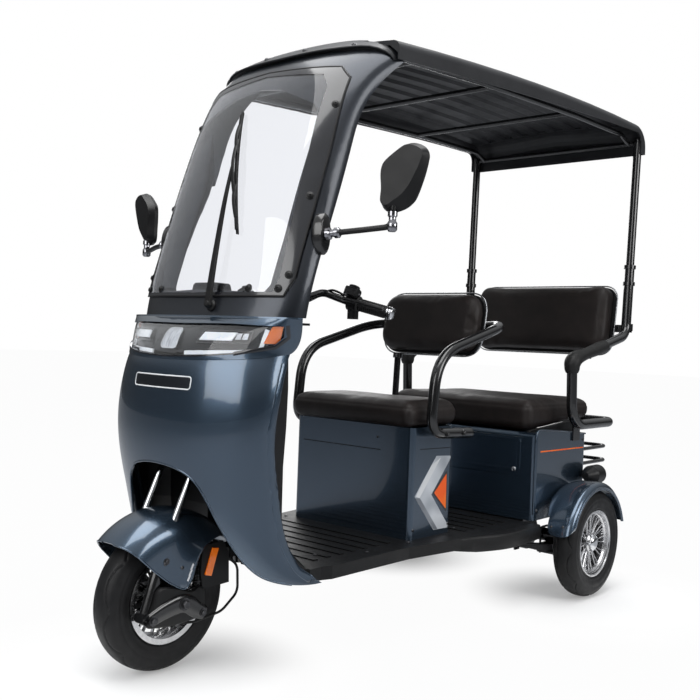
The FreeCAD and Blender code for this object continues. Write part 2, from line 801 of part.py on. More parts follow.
def roof_inner_wire(section):
    """Inside of the canopy, with lengthwise ribs across its ceiling."""
    y, half, bottom, edge, crown = section
    side = half - roof_wall
    usable = side - 24
    ceiling = []
    pitch = 2 * usable / rib_count
    for index in range(rib_count):
        start = -usable + index * pitch
        for offset, drop in ((0.06, 0), (0.42, 0), (0.5, rib_depth), (0.92, rib_depth)):
            x = start + pitch * offset
            ceiling.append(V(x, y, roof_height(section, x) - roof_wall - drop))
    left = [V(-side, y, bottom - 5), V(-side, y, edge - 34)]
    right = [V(side, y, edge - 34), V(side, y, bottom - 5)]
    points = left + ceiling + right
    return Part.makePolygon(points + [points[0]])


def roof_tail_wire(y, ahead):
    """Inside of the canopy's roll-down at one place, set in from the skin a little further back."""
    _, half, _, edge, crown = roof_section(y + ahead)
    side = half - roof_wall
    shoulder = side - 24
    section = (y, half, 0, edge, crown)
    low = roof_tail_z - 10
    shoulder_z = roof_height(section, shoulder) - roof_wall
    points = [V(-side, y, low), V(-side, y, edge - 34), V(-shoulder, y, shoulder_z),
              V(0, y, crown - roof_wall), V(shoulder, y, shoulder_z), V(side, y, edge - 34), V(side, y, low)]
    return Part.makePolygon(points + [points[0]])


def make_roof():
    """Moulded canopy: crowned top rolled down at the rear, turned-down skirts and ribs below."""
    sections = [roof_section(y) for y in roof_stations + roll_stations]
    outer = Part.makeLoft([roof_outer_wire(s) for s in sections], True, True)
    ribbed = [roof_section(y) for y in roof_stations]
    ribbed[0] = (roof_front_y - 4,) + ribbed[0][1:]
    ribbed[-1] = (roof_band_start + 4,) + ribbed[-1][1:]
    inner = Part.makeLoft([roof_inner_wire(s) for s in ribbed], True, True)
    tail = [roof_tail_wire(roof_rear_y - back, 4) for back in (68, 52, 40, 28, 18, 10, roof_wall)]
    return outer.cut(inner).cut(Part.makeLoft(tail, True, True))


def make_roof_rails():
    """Side rails and cross tubes under the canopy."""
    rail_x = 338.0
    rails = []
    side_rail = [V(rail_x, roof_front_y + 28, 1668), V(rail_x, -600, 1697), V(rail_x, 0, 1722),
                 V(rail_x, 370, 1726), V(rail_x, post_top_y, roof_cross_z)]
    rails.append(tube(side_rail, 10, [300, 300, 60]))
    rails.append(mirrored(rails[0]))
    for y, z in ((roof_front_y + 88, 1673), (-560, 1699), (-60, 1720)):
        rails.append(cylinder(9, V(-rail_x, y, z), V(rail_x, y, z)))
    end = post_line(roof_cross_z).x - post_radius - seat_gap
    rails.append(cylinder(9, V(-end, post_top_y, roof_cross_z), V(end, post_top_y, roof_cross_z)))
    return fused(rails)


def post_line(z, side=1.0):
    """Point of a canopy post's centre line at a height."""
    along = (z - post_foot_z) / (post_top_z - post_foot_z)
    return V(side * (post_x + post_top_lean_x * along), post_foot_y + (post_top_y - post_foot_y) * along, z)


def backrest_tab(side):
    """Plate from a post to the rear backrest's back."""
    near, far = sorted((side * (rear_backrest_half - 56), side * (post_x + 12)))
    front = rear_backrest_half_depth + seat_gap
    tab = box(near, far, front, front + 5, 98, 128)
    tab.rotate(V(0, 0, 0), V(1, 0, 0), -rear_backrest_lean)
    tab.translate(V(0, rear_backrest_y, rear_backrest_z))
    block = box(side * post_x - 12, side * post_x + 12, 428, 452, 956, 984)
    return fused([tab, block])


arm_rear = post_line(937)
arm_front = V(post_x, -24, 838)
arm_foot = V(post_x, -10, 600)
loop_corner = V(post_x, 315, 600)
arm_bends = [60, 45, 85, 34]


def make_rear_hoop():
    """Posts sleeved into one bent tube: armrests, seat loop and cross bar behind the cushion."""
    left = [post_line(1215), arm_rear, arm_front, arm_foot, loop_corner]
    right = [V(-p.x, p.y, p.z) for p in reversed(left)]
    parts = [tube(left + right, hoop_radius, arm_bends + arm_bends[::-1])]
    for side in (-1, 1):
        parts.append(cylinder(post_radius, post_line(1150, side), post_line(post_top_z, side)))
        for z in (1208, 1142):
            parts.append(cylinder(collar_radius, post_line(z - 7, side), post_line(z + 7, side)))
        parts.append(backrest_tab(side))
        rear = rear_box_rear_y + seat_gap
        middle = side * (rear_box_half - 100)
        parts.append(prism_x([(rear, 520), (rear + 6, 520), (rear + 8, 552), (306, 577), (322, 584),
                              (300, 590), (rear, 560)], middle - 12, middle + 12))
        near, far = sorted((side * (rear_box_half + seat_gap), side * (rear_box_half + seat_gap + 6)))
        parts.append(box(near, far, 40, 90, 540, 596))
    return fused(parts)


def make_arm_pads():
    """Foam sleeves over the armrests, thickest round the front bend."""
    back = (arm_rear - arm_front).normalize()
    down = (arm_foot - arm_front).normalize()
    bend = arm_bends[1]
    knuckle = tube([arm_front + back * 60, arm_front, arm_front + down * 48], arm_pad_radius, bend)
    sleeve = Part.makeCone(arm_pad_radius, arm_pad_rear_radius, 220, arm_front + back * 55, back)
    bore = tube([arm_front + back * 330, arm_front, arm_front + down * 90], hoop_radius + arm_pad_gap, bend)
    return pair(fused([knuckle, sleeve]).cut(bore))


# floor and frame
def floor_outline(inset, front_inset, rear_extra):
    """Plan of the floor, narrow at the toes, set in from its edge."""
    front = front_axle_y + 264 + front_inset
    half = [(floor_toe_half, front), (floor_toe_half, front_axle_y + 308),
            (floor_front_half, front_axle_y + 340), (floor_front_half, front_box_front_y - 68),
            (rear_box_half - 6, front_box_rear_y + 13), (rear_box_half, front_box_rear_y + 173),
            (rear_box_half, rear_box_front_y - seat_gap + rear_extra)]
    half = [(x - inset, y) for x, y in half]
    return half + [(-x, y) for x, y in reversed(half)]


def floor_slab(outline, z0, z1):
    points = [V(x, y, z0) for x, y in outline]
    return Part.Face(Part.makePolygon(points + [points[0]])).extrude(V(0, 0, z1 - z0))


def make_floor():
    """Moulded floor tray: top sheet with raised strips, and a skirt that hides the rails."""
    bottom = floor_top_z - floor_thickness
    tray = floor_slab(floor_outline(0, 0, 0), bottom, floor_top_z)
    under = floor_slab(floor_outline(shell_wall, shell_wall, 20), bottom - 5, floor_top_z - floor_sheet)
    strips = []
    first = front_axle_y + 340
    pitch = (front_box_front_y - 84 - first) / 6
    for index in range(7):
        y = first + index * pitch
        strips.append(box(-230, 230, y, y + 16, floor_top_z - 1, floor_top_z + strip_height))
    for index in range(5):
        y = -540 + index * 58
        strips.append(box(-280, 280, y, y + 16, floor_top_z - 1, floor_top_z + strip_height))
    notch = box(-down_tube_radius - 2, down_tube_radius + 2, frame_front_y - 34, frame_front_y + 26,
                bottom - 5, floor_top_z + 10)
    return fused([tray.cut(under)] + strips).cut(notch)


def make_frame():
    """Welded chassis: head tube, down tube, rails that kick up over the axle, cross members."""
    low_top = floor_top_z - floor_sheet - seat_gap
    low = low_top - frame_tube_height
    high = frame_high_z
    high_top = high + frame_tube_height
    rail = [(frame_front_y, low), (frame_front_y, low_top), (-212, low_top), (-160, high_top),
            (frame_rear_y, high_top), (frame_rear_y, high), (-146, high), (-198, low)]
    parts = []
    for x in (-frame_half, frame_half):
        parts.append(prism_x(rail, x - frame_tube / 2, x + frame_tube / 2))
    for y in (frame_front_y, front_box_front_y - 108, front_box_rear_y - 27):
        parts.append(box(-frame_half, frame_half, y, y + frame_tube, low, low_top))
    for y in (-136, 300):
        parts.append(box(-frame_half, frame_half, y, y + frame_tube, high, high_top))
    for side in (-1, 1):
        for y, z0, z1 in ((-spring_half_length, low, low_top), (spring_half_length, high, high_top)):
            near, far = sorted((side * frame_half, side * (spring_x + 29)))
            parts.append(box(near, far, y - 16, y + 16, z0, z1))
            for offset in (-spring_width / 2 - 6.4, spring_width / 2 + 0.4):
                x = side * spring_x + offset
                parts.append(box(x, x + 6, y - 14, y + 14, spring_eye_z - 14, z1))
    parts.append(at_front(cylinder(head_tube_radius, on_axis(620), on_axis(770))))
    down_tube = tube([on_axis(690), V(0, 244, 600), V(0, frame_front_behind + 4, low + 4)],
                     down_tube_radius, 50)
    parts.append(at_front(down_tube))
    parts.append(box(-tow_plate_half, tow_plate_half, frame_rear_y, frame_rear_y + 6,
                     high - 34, high_top))
    bore = cylinder(steerer_radius + head_tube_gap, on_axis(590), on_axis(800))
    solid = fused(parts).cut(at_front(bore))
    for x in (-tow_spacing_x / 2, tow_spacing_x / 2):
        for z in (-tow_spacing_z / 2, tow_spacing_z / 2):
            centre = V(x, frame_rear_y - 50, tow_centre_z + z)
            solid = solid.cut(cylinder(tow_hole_radius, centre, centre + V(0, 60, 0)))
    return solid


def make_rear_axle():
    """Axle tube with the motor, its gear case, brake drums and wheel spindles."""
    drum_face = half_track - rim_lip_width / 2 - 6
    parts = [
        cylinder(axle_tube_radius, V(-drum_face, 0, axle_height), V(drum_face, 0, axle_height)),
        cylinder(78, V(-60, 0, axle_height), V(60, 0, axle_height)),
        cylinder(66, V(50, 0, axle_height), V(210, 0, axle_height)),
        cylinder(spindle_radius, V(-half_track - 36, 0, axle_height), V(half_track + 36, 0, axle_height)),
    ]
    for side in (-1, 1):
        near, far = sorted((side * drum_face, side * (drum_face - 22)))
        parts.append(cylinder(66, V(near, 0, axle_height), V(far, 0, axle_height)))
    return fused(parts)


def make_leaf_springs():
    """Stepped leaf packs under the axle, with their eyes and U-bolts."""
    top = axle_height - axle_tube_radius - seat_gap
    half = spring_half_length
    rise = spring_eye_z + 4 - top
    leaf = 6.5
    upper = [(-half, top + rise), (-half * 0.5, top + rise * 0.4), (-46, top), (46, top),
             (half * 0.5, top + rise * 0.4), (half, top + rise)]
    lower = [(half, top + rise - leaf)]
    for index, reach in enumerate((0.76, 0.52, 0.3)):
        z = top + rise * (reach - 0.15) / 0.85 - leaf * (index + 1)
        lower += [(half * reach, z), (half * reach, z - leaf)]
    lower += [(46, top - leaf * 4), (-46, top - leaf * 4)]
    for y, z in reversed(lower[:7]):
        lower.append((-y, z))
    pack = prism_x(upper + lower, spring_x - spring_width / 2, spring_x + spring_width / 2)
    eyes = [cylinder(11, V(spring_x - spring_width / 2, y, spring_eye_z),
                     V(spring_x + spring_width / 2, y, spring_eye_z)) for y in (-half, half)]
    plate = box(spring_x - 32, spring_x + 32, -46, 46, top - leaf * 4 - 8, top - leaf * 4)
    bolts = []
    over = axle_height + axle_tube_radius + seat_gap + 4.5
    for x in (spring_x - 28.5, spring_x + 28.5):
        side = axle_tube_radius + seat_gap + 5
        foot = top - leaf * 4 - 14
        bolts.append(tube([V(x, -side, foot), V(x, -side, over), V(x, side, over), V(x, side, foot)],
                          4, 12))
    return pair(fused([pack, plate] + eyes + bolts))


# seats
def make_front_box():
    """Hollow battery box under the driver's seat."""
    outer = box(-front_box_half, front_box_half, front_box_front_y, front_box_rear_y,
                floor_top_z, front_box_top_z)
    corners = [e for e in outer.Edges if abs(e.tangentAt(e.FirstParameter).z) > 0.9]
    outer = outer.makeFillet(18, corners)
    inner = box(-front_box_half + box_wall, front_box_half - box_wall,
                front_box_front_y + box_wall, front_box_rear_y - box_wall,
                floor_top_z + box_wall, front_box_top_z + 10)
    return outer.cut(inner)


def make_battery():
    """One plain block for the cells."""
    return box(-200, 200, -774, -592, floor_top_z + box_wall, 500)


def make_front_cushion():
    base = front_box_top_z + seat_gap
    return rounded_box(-front_cushion_half, front_cushion_half, front_cushion_front_y,
                       front_cushion_rear_y, base, base + front_cushion_thickness, 34)


def make_front_backrest():
    cushion = rounded_box(-216, 216, -34, 34, 0, 226, 32)
    cushion.rotate(V(0, 0, 0), V(1, 0, 0), -front_backrest_lean)
    cushion.translate(V(0, front_backrest_y, front_backrest_z))
    return cushion


def make_front_arms():
    """Armrest tubes of the driver's seat."""
    x = 286.0
    arm = tube([
        V(x, -545, 594), V(x, -700, 600), V(x, -752, 640), V(x, -752, 712), V(x, -733, 822),
        V(x, -640, 870), V(x, -400, 934), V(x - 40, -330, 944), V(x - 90, -318, 944),
    ], arm_radius, [40, 30, 60, 40, 60, 30, 25])
    lugs = [cylinder(9, V(front_box_half + seat_gap, y, 598), V(x, y, 598)) for y in (-690, -600)]
    return pair(fused([arm] + lugs))


def make_rear_box():
    """Hollow bench box: raised bottom, skirts, sloped side tops, ledges and the flap's opening."""
    outer = box(-rear_box_half, rear_box_half, rear_box_front_y, rear_box_rear_y,
                rear_box_skirt_z, rear_side_front_z)
    corners = [e for e in outer.Edges if abs(e.tangentAt(e.FirstParameter).z) > 0.9]
    outer = outer.makeFillet(16, corners)
    far = rear_box_half + 20
    slope = (rear_side_front_z - rear_side_rear_z) / (rear_box_rear_y - rear_box_front_y)
    above = prism_x([(rear_box_front_y - 9, rear_side_front_z + 9 * slope),
                     (rear_box_rear_y + 9, rear_side_rear_z - 9 * slope),
                     (rear_box_rear_y + 9, rear_side_front_z + 9),
                     (rear_box_front_y - 9, rear_side_front_z + 9)], -far, far)
    round_y = rear_box_front_y + rear_side_round
    round_z = rear_side_front_z - rear_side_round
    shoulder = box(-far, far, rear_box_front_y - 5, round_y, round_z, rear_side_front_z + 5)
    shoulder = shoulder.cut(cylinder(rear_side_round, V(-far, round_y, round_z), V(far, round_y, round_z)))
    upper = box(-rear_box_half + box_wall, rear_box_half - box_wall, rear_box_front_y + box_wall,
                rear_box_rear_y - box_wall, rear_box_floor_z + box_wall, rear_side_front_z + 10)
    lid_room = box(-rear_box_half + box_wall, rear_box_half - box_wall, rear_box_front_y - 5,
                   rear_box_rear_y + 5, rear_box_top_z, rear_side_front_z + 10)
    under = box(-rear_box_half + box_wall, rear_box_half - box_wall, rear_box_front_y + box_wall,
                rear_box_rear_y + 10, rear_box_skirt_z - 10, rear_box_floor_z)
    door = box(-flap_half - 1, flap_half + 1, rear_box_front_y - 5, rear_box_front_y + box_wall + 5,
               flap_bottom_z - 2, flap_top_z + 1)
    pin_hole = flap_pin(flap_half + flap_pin_reach + seat_gap, flap_pin_radius + bearing_clearance)
    ledge = box(rear_cushion_half - rear_cushion_edge - 6, rear_box_half - 1, rear_box_front_y + 1,
                rear_box_front_y + 150, rear_box_top_z - box_wall, rear_box_top_z)
    walls = outer.cut(above).cut(shoulder).cut(upper).cut(lid_room)
    return fused([walls, ledge, mirrored(ledge)]).cut(under).cut(door).cut(pin_hole)


def flap_pin(half, radius):
    """Bar along the flap's hinge line."""
    y = rear_box_front_y + box_wall / 2
    z = flap_bottom_z + box_wall / 2
    return cylinder(radius, V(-half, y, z), V(half, y, z))


def make_flap():
    """Drop-down door in the bench box, with stub pins at its lower corners."""
    door = box(-flap_half, flap_half, rear_box_front_y, rear_box_front_y + box_wall,
               flap_bottom_z, flap_top_z)
    return fused([door, flap_pin(flap_half + flap_pin_reach, flap_pin_radius)])


def make_rear_cushion():
    """Wedge that rises to the seat loop's cross bar behind it."""
    slope = rear_cushion_rise / (rear_cushion_rear_y - rear_cushion_front_y)
    base = rear_box_top_z + seat_gap - rear_cushion_edge * slope
    wedge = prism_x([
        (rear_cushion_front_y, base), (rear_cushion_rear_y, base + rear_cushion_rise),
        (rear_cushion_rear_y, base + rear_cushion_rise + rear_cushion_rear_thickness),
        (rear_cushion_front_y, base + rear_cushion_thickness),
    ], -rear_cushion_half, rear_cushion_half)
    return wedge.makeFillet(rear_cushion_edge, wedge.Edges)


def make_rear_backrest():
    depth = rear_backrest_half_depth
    cushion = rounded_box(-rear_backrest_half, rear_backrest_half, -depth, depth, 0, 284, 38)
    cushion.rotate(V(0, 0, 0), V(1, 0, 0), -rear_backrest_lean)
    cushion.translate(V(0, rear_backrest_y, rear_backrest_z))
    return cushion


def make_backrest_post():
    """Curved post from a plate on the seat box up to a boot under the driver's backrest."""
    x = backrest_post_x
    plate_front = front_box_rear_y + seat_gap
    plate = box(x - 22, x + 22, plate_front, plate_front + 6, 530, 590)
    lean = math.radians(front_backrest_lean)
    normal = V(0, math.sin(lean), math.cos(lean))
    top = V(x, front_backrest_y, front_backrest_z) + V(0, math.cos(lean), -math.sin(lean)) * 14
    top = top - normal * seat_gap
    boot = cylinder(17, top - normal * 18, top)
    post = tube([V(x, plate_front + 2, 560), V(x, -520, 560), V(x, -400, 640), top - normal * 6],
                11.5, [30, 40])
    return fused([plate, post, boot])


# rear guards and rack
def make_rear_fender():
    """Domed guard over the left rear wheel: it narrows in front and ends in a rounded flap."""
    inner_x = rear_box_half + seat_gap
    width = rear_fender_outer_x - inner_x
    top = rear_fender_radius
    profile = [(0, top - 42), (14, top - 22), (42, top - 7), (80, top - 1), (width - 26, top),
               (width - 10, top - 4), (width - 2, top - 14), (width, top - 27)]
    ring = domed_guard(profile, rear_fender_wall, V(inner_x, 0, axle_height))
    far = rear_fender_outer_x + 40
    skirt = prism_x([(-400, 236), (-100, 236), (0, axle_height), (100, 248), (400, 248), (400, 700),
                     (-400, 700)], inner_x, far)
    plan_edge = [(inner_x, -60), (inner_x + 8, -110), (inner_x + 28, -160), (inner_x + 45, -205),
                 (inner_x + 50, -245)]
    plan = curved_face([V(x, y, 100) for x, y in plan_edge],
                       [V(far, -245, 100), V(far, 300, 100), V(inner_x, 300, 100)])
    outer = rear_fender_outer_x
    flap = [(inner_x + 44, 300), (inner_x + 46, 262), (inner_x + 56, 243), (inner_x + 78, 236.5),
            (outer - 34, 237), (outer - 12, 246), (outer - 1, 268), (outer + 3, 300)]
    keep = curved_face([V(x, -260, z) for x, z in flap], []).extrude(V(0, 120, 0))
    trim = box(inner_x - 10, far, -259, -141, 150, 299).cut(keep)
    return ring.common(skirt).common(plan.extrude(V(0, 0, 600))).cut(trim)


def make_rear_rack():
    """Two bent bars behind the bench box."""
    bars = []
    for z in (497, 442):
        bars.append(tube([
            V(-rack_half, rear_box_rear_y + seat_gap, z), V(-rack_half, rack_rear_y, z),
            V(rack_half, rack_rear_y, z), V(rack_half, rear_box_rear_y + seat_gap, z),
        ], rack_radius, 34))
    for x in (-160, 160):
        bars.append(cylinder(5, V(x, rack_rear_y, 442), V(x, rack_rear_y, 497)))
    return fused(bars)


def make_tail_lamps():
    """Round lamp pods that taper forward, on arms from the bench box's rear corners."""
    x = rear_box_half + tail_lamp_offset
    barrel = cylinder(tail_lamp_radius, V(x, 120, tail_lamp_z), V(x, 172, tail_lamp_z))
    nose = Part.makeCone(14, tail_lamp_radius, 44, V(x, 76, tail_lamp_z), V(0, 1, 0))
    arm = box(rear_box_half + seat_gap, x, 128, 148, tail_lamp_z - 12, tail_lamp_z + 12)
    return pair(fused([barrel, nose, arm]))


nodes = {}


def add(name, shape):
    nodes[name] = shape


def add_front(name, shape):
    nodes[name] = at_front(shape)


add_front("front_tyre", make_tyre(0, 0))
add_front("front_rim", make_rim(0, 0, -1, axle_radius + bearing_clearance, -6))
for side_name, side in (("left", 1), ("right", -1)):
    add("rear_tyre_" + side_name, make_tyre(side * half_track, 0))
    add("rear_rim_" + side_name, make_rim(side * half_track, 0, side, spindle_radius + bearing_clearance))
fender = make_front_fender()
add_front("front_fork", make_fork().cut(fender))
add_front("fork_links", make_fork_links())
add_front("front_brake", make_front_brake())
add_front("brake_cable", make_brake_cable())
add_front("splash_guards", make_splash_guards())
add_front("fork_reflectors", make_fork_reflectors())
add_front("front_fender", fender)
add_front("handlebar", make_handlebar())
add_front("grips", make_grips())
add_front("hand_controls", make_hand_controls())
add("chassis_frame", make_frame())
add("floor_board", make_floor())
add_front("front_fairing", make_fairing())
add_front("leg_shield", make_leg_shield())
add_front("lamp_bezel", make_lamp_bezel())
add_front("lamp_core", make_lamp_core())
add_front("lamp_lens", make_lamp_lens())
add_front("turn_signals", make_turn_signals())
roof = make_roof()
roof_tubes = make_roof_rails()
add("windshield_frame", at_front(make_windshield_frame()).cut(roof).cut(roof_tubes))
add_front("windshield", make_windshield())
add_front("wiper", make_wiper())
add_front("mirrors", Part.makeCompound([make_mirror(0.0), mirrored(make_mirror(mirror_right_drop))]))
add("roof_panel", roof)
add("roof_rails", roof_tubes)
add("rear_hoop", make_rear_hoop().cut(roof))
add("rear_arm_pads", make_arm_pads())
add("rear_axle", make_rear_axle())
add("leaf_springs", make_leaf_springs())
add("front_seat_box", make_front_box())
add("battery_pack", make_battery())
add("front_cushion", make_front_cushion())
add("front_backrest", make_front_backrest())
add("backrest_post", make_backrest_post())
add("front_armrests", make_front_arms())
add("rear_seat_box", make_rear_box())
add("rear_box_flap", make_flap())
add("rear_cushion", make_rear_cushion())
add("rear_backrest", make_rear_backrest())
add("rear_fenders", pair(make_rear_fender()))
add("rear_rack", make_rear_rack())
add("tail_lamps", make_tail_lamps())

whole = Part.makeCompound(list(nodes.values())).BoundBox
shift = V(0, -(whole.YMin + whole.YMax) / 2, 0)
os.makedirs("parts", exist_ok=True)
for name, shape in nodes.items():
    moved = shape.copy()
    moved.translate(shift)
    moved.exportStep("parts/%s.step" % name)
    print(name, moved.isValid(), len(moved.Solids), round(moved.Volume / 1000), moved.BoundBox)
print("shift", shift, whole)
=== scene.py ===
import math

import bmesh
import bpy
from mathutils import Matrix, Vector
from mathutils.bvhtree import BVHTree
from mathutils.geometry import tessellate_polygon
import numpy as np


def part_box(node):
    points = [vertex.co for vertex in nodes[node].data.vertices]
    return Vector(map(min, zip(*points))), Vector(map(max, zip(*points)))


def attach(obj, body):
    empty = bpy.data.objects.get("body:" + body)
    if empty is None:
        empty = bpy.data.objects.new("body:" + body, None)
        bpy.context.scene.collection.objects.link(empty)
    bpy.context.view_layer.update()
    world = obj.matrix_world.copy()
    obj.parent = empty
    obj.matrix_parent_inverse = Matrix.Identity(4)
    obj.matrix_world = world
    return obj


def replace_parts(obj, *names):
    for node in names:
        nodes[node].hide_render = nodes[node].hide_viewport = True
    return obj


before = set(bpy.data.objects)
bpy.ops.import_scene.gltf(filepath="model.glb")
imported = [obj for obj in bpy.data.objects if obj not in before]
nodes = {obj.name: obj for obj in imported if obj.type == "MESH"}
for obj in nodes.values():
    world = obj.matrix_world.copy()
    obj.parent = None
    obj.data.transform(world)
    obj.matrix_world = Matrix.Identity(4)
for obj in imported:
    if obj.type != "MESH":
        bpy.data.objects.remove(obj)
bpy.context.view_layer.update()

# Places are written in millimetres: X to the vehicle's left, Y back from the rear axle, Z up.
MM = 0.001
low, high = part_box("rear_rim_left")
AXLE_Y = (low.y + high.y) / 2
AXLE_Z = (low.z + high.z) / 2 / MM
TRACK = (low.x + high.x) / 2 / MM
FRONT_AXLE = -1540.0
AHEAD = -1800.0  # a Y in front of the whole body, from where trim is laid on it
BESIDE = 600.0  # an X beside the whole body
LEFT, BACK, UP = Vector((1, 0, 0)), Vector((0, 1, 0)), Vector((0, 0, 1))
SIDES = (-1, 1)


def at(x, y, z):
    """Point of the frame from millimetres measured at the rear axle."""
    return Vector((x * MM, y * MM + AXLE_Y, z * MM))


def by_fork(x, y, z):
    """Point of the frame from millimetres measured at the front axle's Y."""
    return at(x, FRONT_AXLE + y, z)


def around(turn):
    """Direction at a turn round a wheel, from straight back."""
    return BACK * math.cos(turn) + UP * math.sin(turn)


def turns(steps, start=0.0):
    """Even turns of a full circle."""
    return [2 * math.pi * (i + start) / steps for i in range(steps)]


# Materials
def add_node(tree, kind, operation=None, **values):
    """Shader node, with the values of inputs named by words joined with _."""
    node = tree.nodes.new("ShaderNode" + kind)
    if operation:
        node.operation = operation
    for name, value in values.items():
        node.inputs[name.replace("_", " ")].default_value = value
    return node


def combine(tree, operation, first, second):
    """Output of an operation on two outputs."""
    node = add_node(tree, "Math", operation)
    tree.links.new(first, node.inputs[0])
    tree.links.new(second, node.inputs[1])
    return node.outputs["Value"]


def shader_of(material):
    """The main shader of a material."""
    return material.node_tree.nodes["Principled BSDF"]


def new_material(name, colour, roughness, **values):
    """Material with its uniform values on the shader."""
    material = bpy.data.materials.new(name)
    material.use_nodes = True
    values.update(Base_Color=(*colour, 1.0), Roughness=roughness)
    for socket, value in values.items():
        shader_of(material).inputs[socket.replace("_", " ")].default_value = value
    return material


def pattern(material, kind, output, **values):
    """Texture in object coordinates, in features per metre."""
    tree = material.node_tree
    texture = add_node(tree, kind, **values)
    tree.links.new(add_node(tree, "TexCoord").outputs["Object"], texture.inputs["Vector"])
    return texture.outputs[output]


def noise(material, scale, detail=4.0):
    """Output of a cloudy pattern."""
    return pattern(material, "TexNoise", "Fac", Scale=scale, Detail=detail)


def cells(material, scale):
    """Output of a pattern of cells."""
    return pattern(material, "TexVoronoi", "Distance", Scale=scale)


def bump(material, height, distance, strength):
    """Adds a bump from a height to the shader, on top of any before it."""
    tree = material.node_tree
    node = add_node(tree, "Bump", Strength=strength, Distance=distance)
    tree.links.new(height, node.inputs["Height"])
    normal = shader_of(material).inputs["Normal"]
    if normal.is_linked:
        tree.links.new(normal.links[0].from_socket, node.inputs["Normal"])
    tree.links.new(node.outputs["Normal"], normal)


def ramp_colours(ramp, stops):
    """Sets a colour ramp's stops, each a position and a colour."""
    marks = ramp.color_ramp.elements
    while len(marks) < len(stops):
        marks.new(0.5)
    for mark, (position, colour) in zip(marks, stops):
        mark.position = position
        mark.color = (*colour, 1.0)


def vary_colour(material, factor, first, second, start=0.35, end=0.65):
    """Base colour that runs between two colours with a factor."""
    tree = material.node_tree
    ramp = add_node(tree, "ValToRGB")
    ramp_colours(ramp, [(start, first), (end, second)])
    tree.links.new(factor, ramp.inputs["Fac"])
    tree.links.new(ramp.outputs["Color"], shader_of(material).inputs["Base Color"])


def vary_roughness(material, factor, lowest, highest):
    """Roughness that runs between two values with a factor."""
    tree = material.node_tree
    spread = add_node(tree, "MapRange", From_Min=0.3, From_Max=0.7, To_Min=lowest, To_Max=highest)
    tree.links.new(factor, spread.inputs["Value"])
    tree.links.new(spread.outputs["Result"], shader_of(material).inputs["Roughness"])


def times(colour, share):
    """A colour made lighter or darker."""
    return tuple(min(c * share, 1.0) for c in colour)


def metallic_paint(name, dark, light, roughness=0.25, coat=1.0, coat_roughness=0.06):
    """Two-coat metallic paint: fine flake, faint orange peel and a clear coat."""
    material = new_material(name, dark, roughness, Metallic=0.8, Coat_Weight=coat,
                            Coat_Roughness=coat_roughness)
    vary_colour(material, noise(material, 1500, 2.0), dark, light)
    bump(material, noise(material, 120, 1.0), 0.00005, 0.2)
    return material


def gloss_coat(name, colour, roughness):
    """Gloss coat, with the slight ripple that such coats have."""
    material = new_material(name, colour, roughness, Coat_Weight=0.6, Coat_Roughness=0.06)
    vary_colour(material, noise(material, 14), colour, times(colour, 1.4))
    bump(material, noise(material, 260, 2.0), 0.0001, 0.25)
    return material


def moulded_plastic(name, colour, roughness, grain_scale=900, grain=0.3):
    """Moulded plastic with a fine leather grain and patches of slightly different gloss."""
    material = new_material(name, colour, roughness, Specular_IOR_Level=0.3)
    vary_colour(material, noise(material, 9), colour, times(colour, 1.3))
    vary_roughness(material, noise(material, 22), roughness - 0.05, roughness + 0.05)
    bump(material, cells(material, grain_scale), 0.00025, grain)
    return material


def leatherette(name, dark, light):
    """Seat cover: fine pebbled grain, faint creases and a soft sheen."""
    material = new_material(name, dark, 0.5, Specular_IOR_Level=0.3)
    vary_colour(material, noise(material, 16, 5.0), dark, light)
    vary_roughness(material, noise(material, 30), 0.44, 0.54)
    bump(material, noise(material, 24, 3.0), 0.0012, 0.18)
    bump(material, cells(material, 900), 0.00025, 0.3)
    return material


def tyre_rubber(name, dark, light):
    """Rubber with a faint bloom."""
    material = new_material(name, dark, 0.5, Specular_IOR_Level=0.3)
    vary_colour(material, noise(material, 30, 5.0), dark, light)
    vary_roughness(material, noise(material, 55), 0.42, 0.58)
    bump(material, noise(material, 700, 3.0), 0.0002, 0.25)
    return material


def bare_metal(name, colour, roughness):
    """Cast, plated or machined metal with fine marks."""
    material = new_material(name, colour, roughness, Metallic=1.0)
    vary_colour(material, noise(material, 60), times(colour, 0.82), colour)
    vary_roughness(material, noise(material, 90, 3.0), max(roughness - 0.07, 0.04), roughness + 0.08)
    bump(material, noise(material, 420, 3.0), 0.0001, 0.2)
    return material


def clear_plastic(name, tint):
    """Clear glazing that lets the view through."""
    material = new_material(name, tint, 0.02, Transmission_Weight=1.0, IOR=1.45)
    bump(material, noise(material, 7, 1.0), 0.0004, 0.12)
    return material


def lens_plastic(name, colour, lines=260, painted_glow=0.12):
    """Coloured lamp lens with fine optic ribs, and a faint painted glow from its emission."""
    # the emission is a painted glow, not a lamp
    material = new_material(name, colour, 0.16, Coat_Weight=1.0, Coat_Roughness=0.03,
                            Emission_Color=(*colour, 1.0), Emission_Strength=painted_glow)
    vary_colour(material, noise(material, 35), colour, times(colour, 1.25))
    bump(material, cells(material, lines), 0.0006, 0.5)
    return material


def film(name, first, second, scale=7.0, roughness=0.3, coat=0.6):
    """Printed decal film with a soft gradient between two tones."""
    material = new_material(name, first, roughness, Coat_Weight=coat)
    vary_colour(material, noise(material, scale, 1.0), first, second, 0.42, 0.6)
    bump(material, noise(material, 300, 1.0), 0.00004, 0.2)
    return material


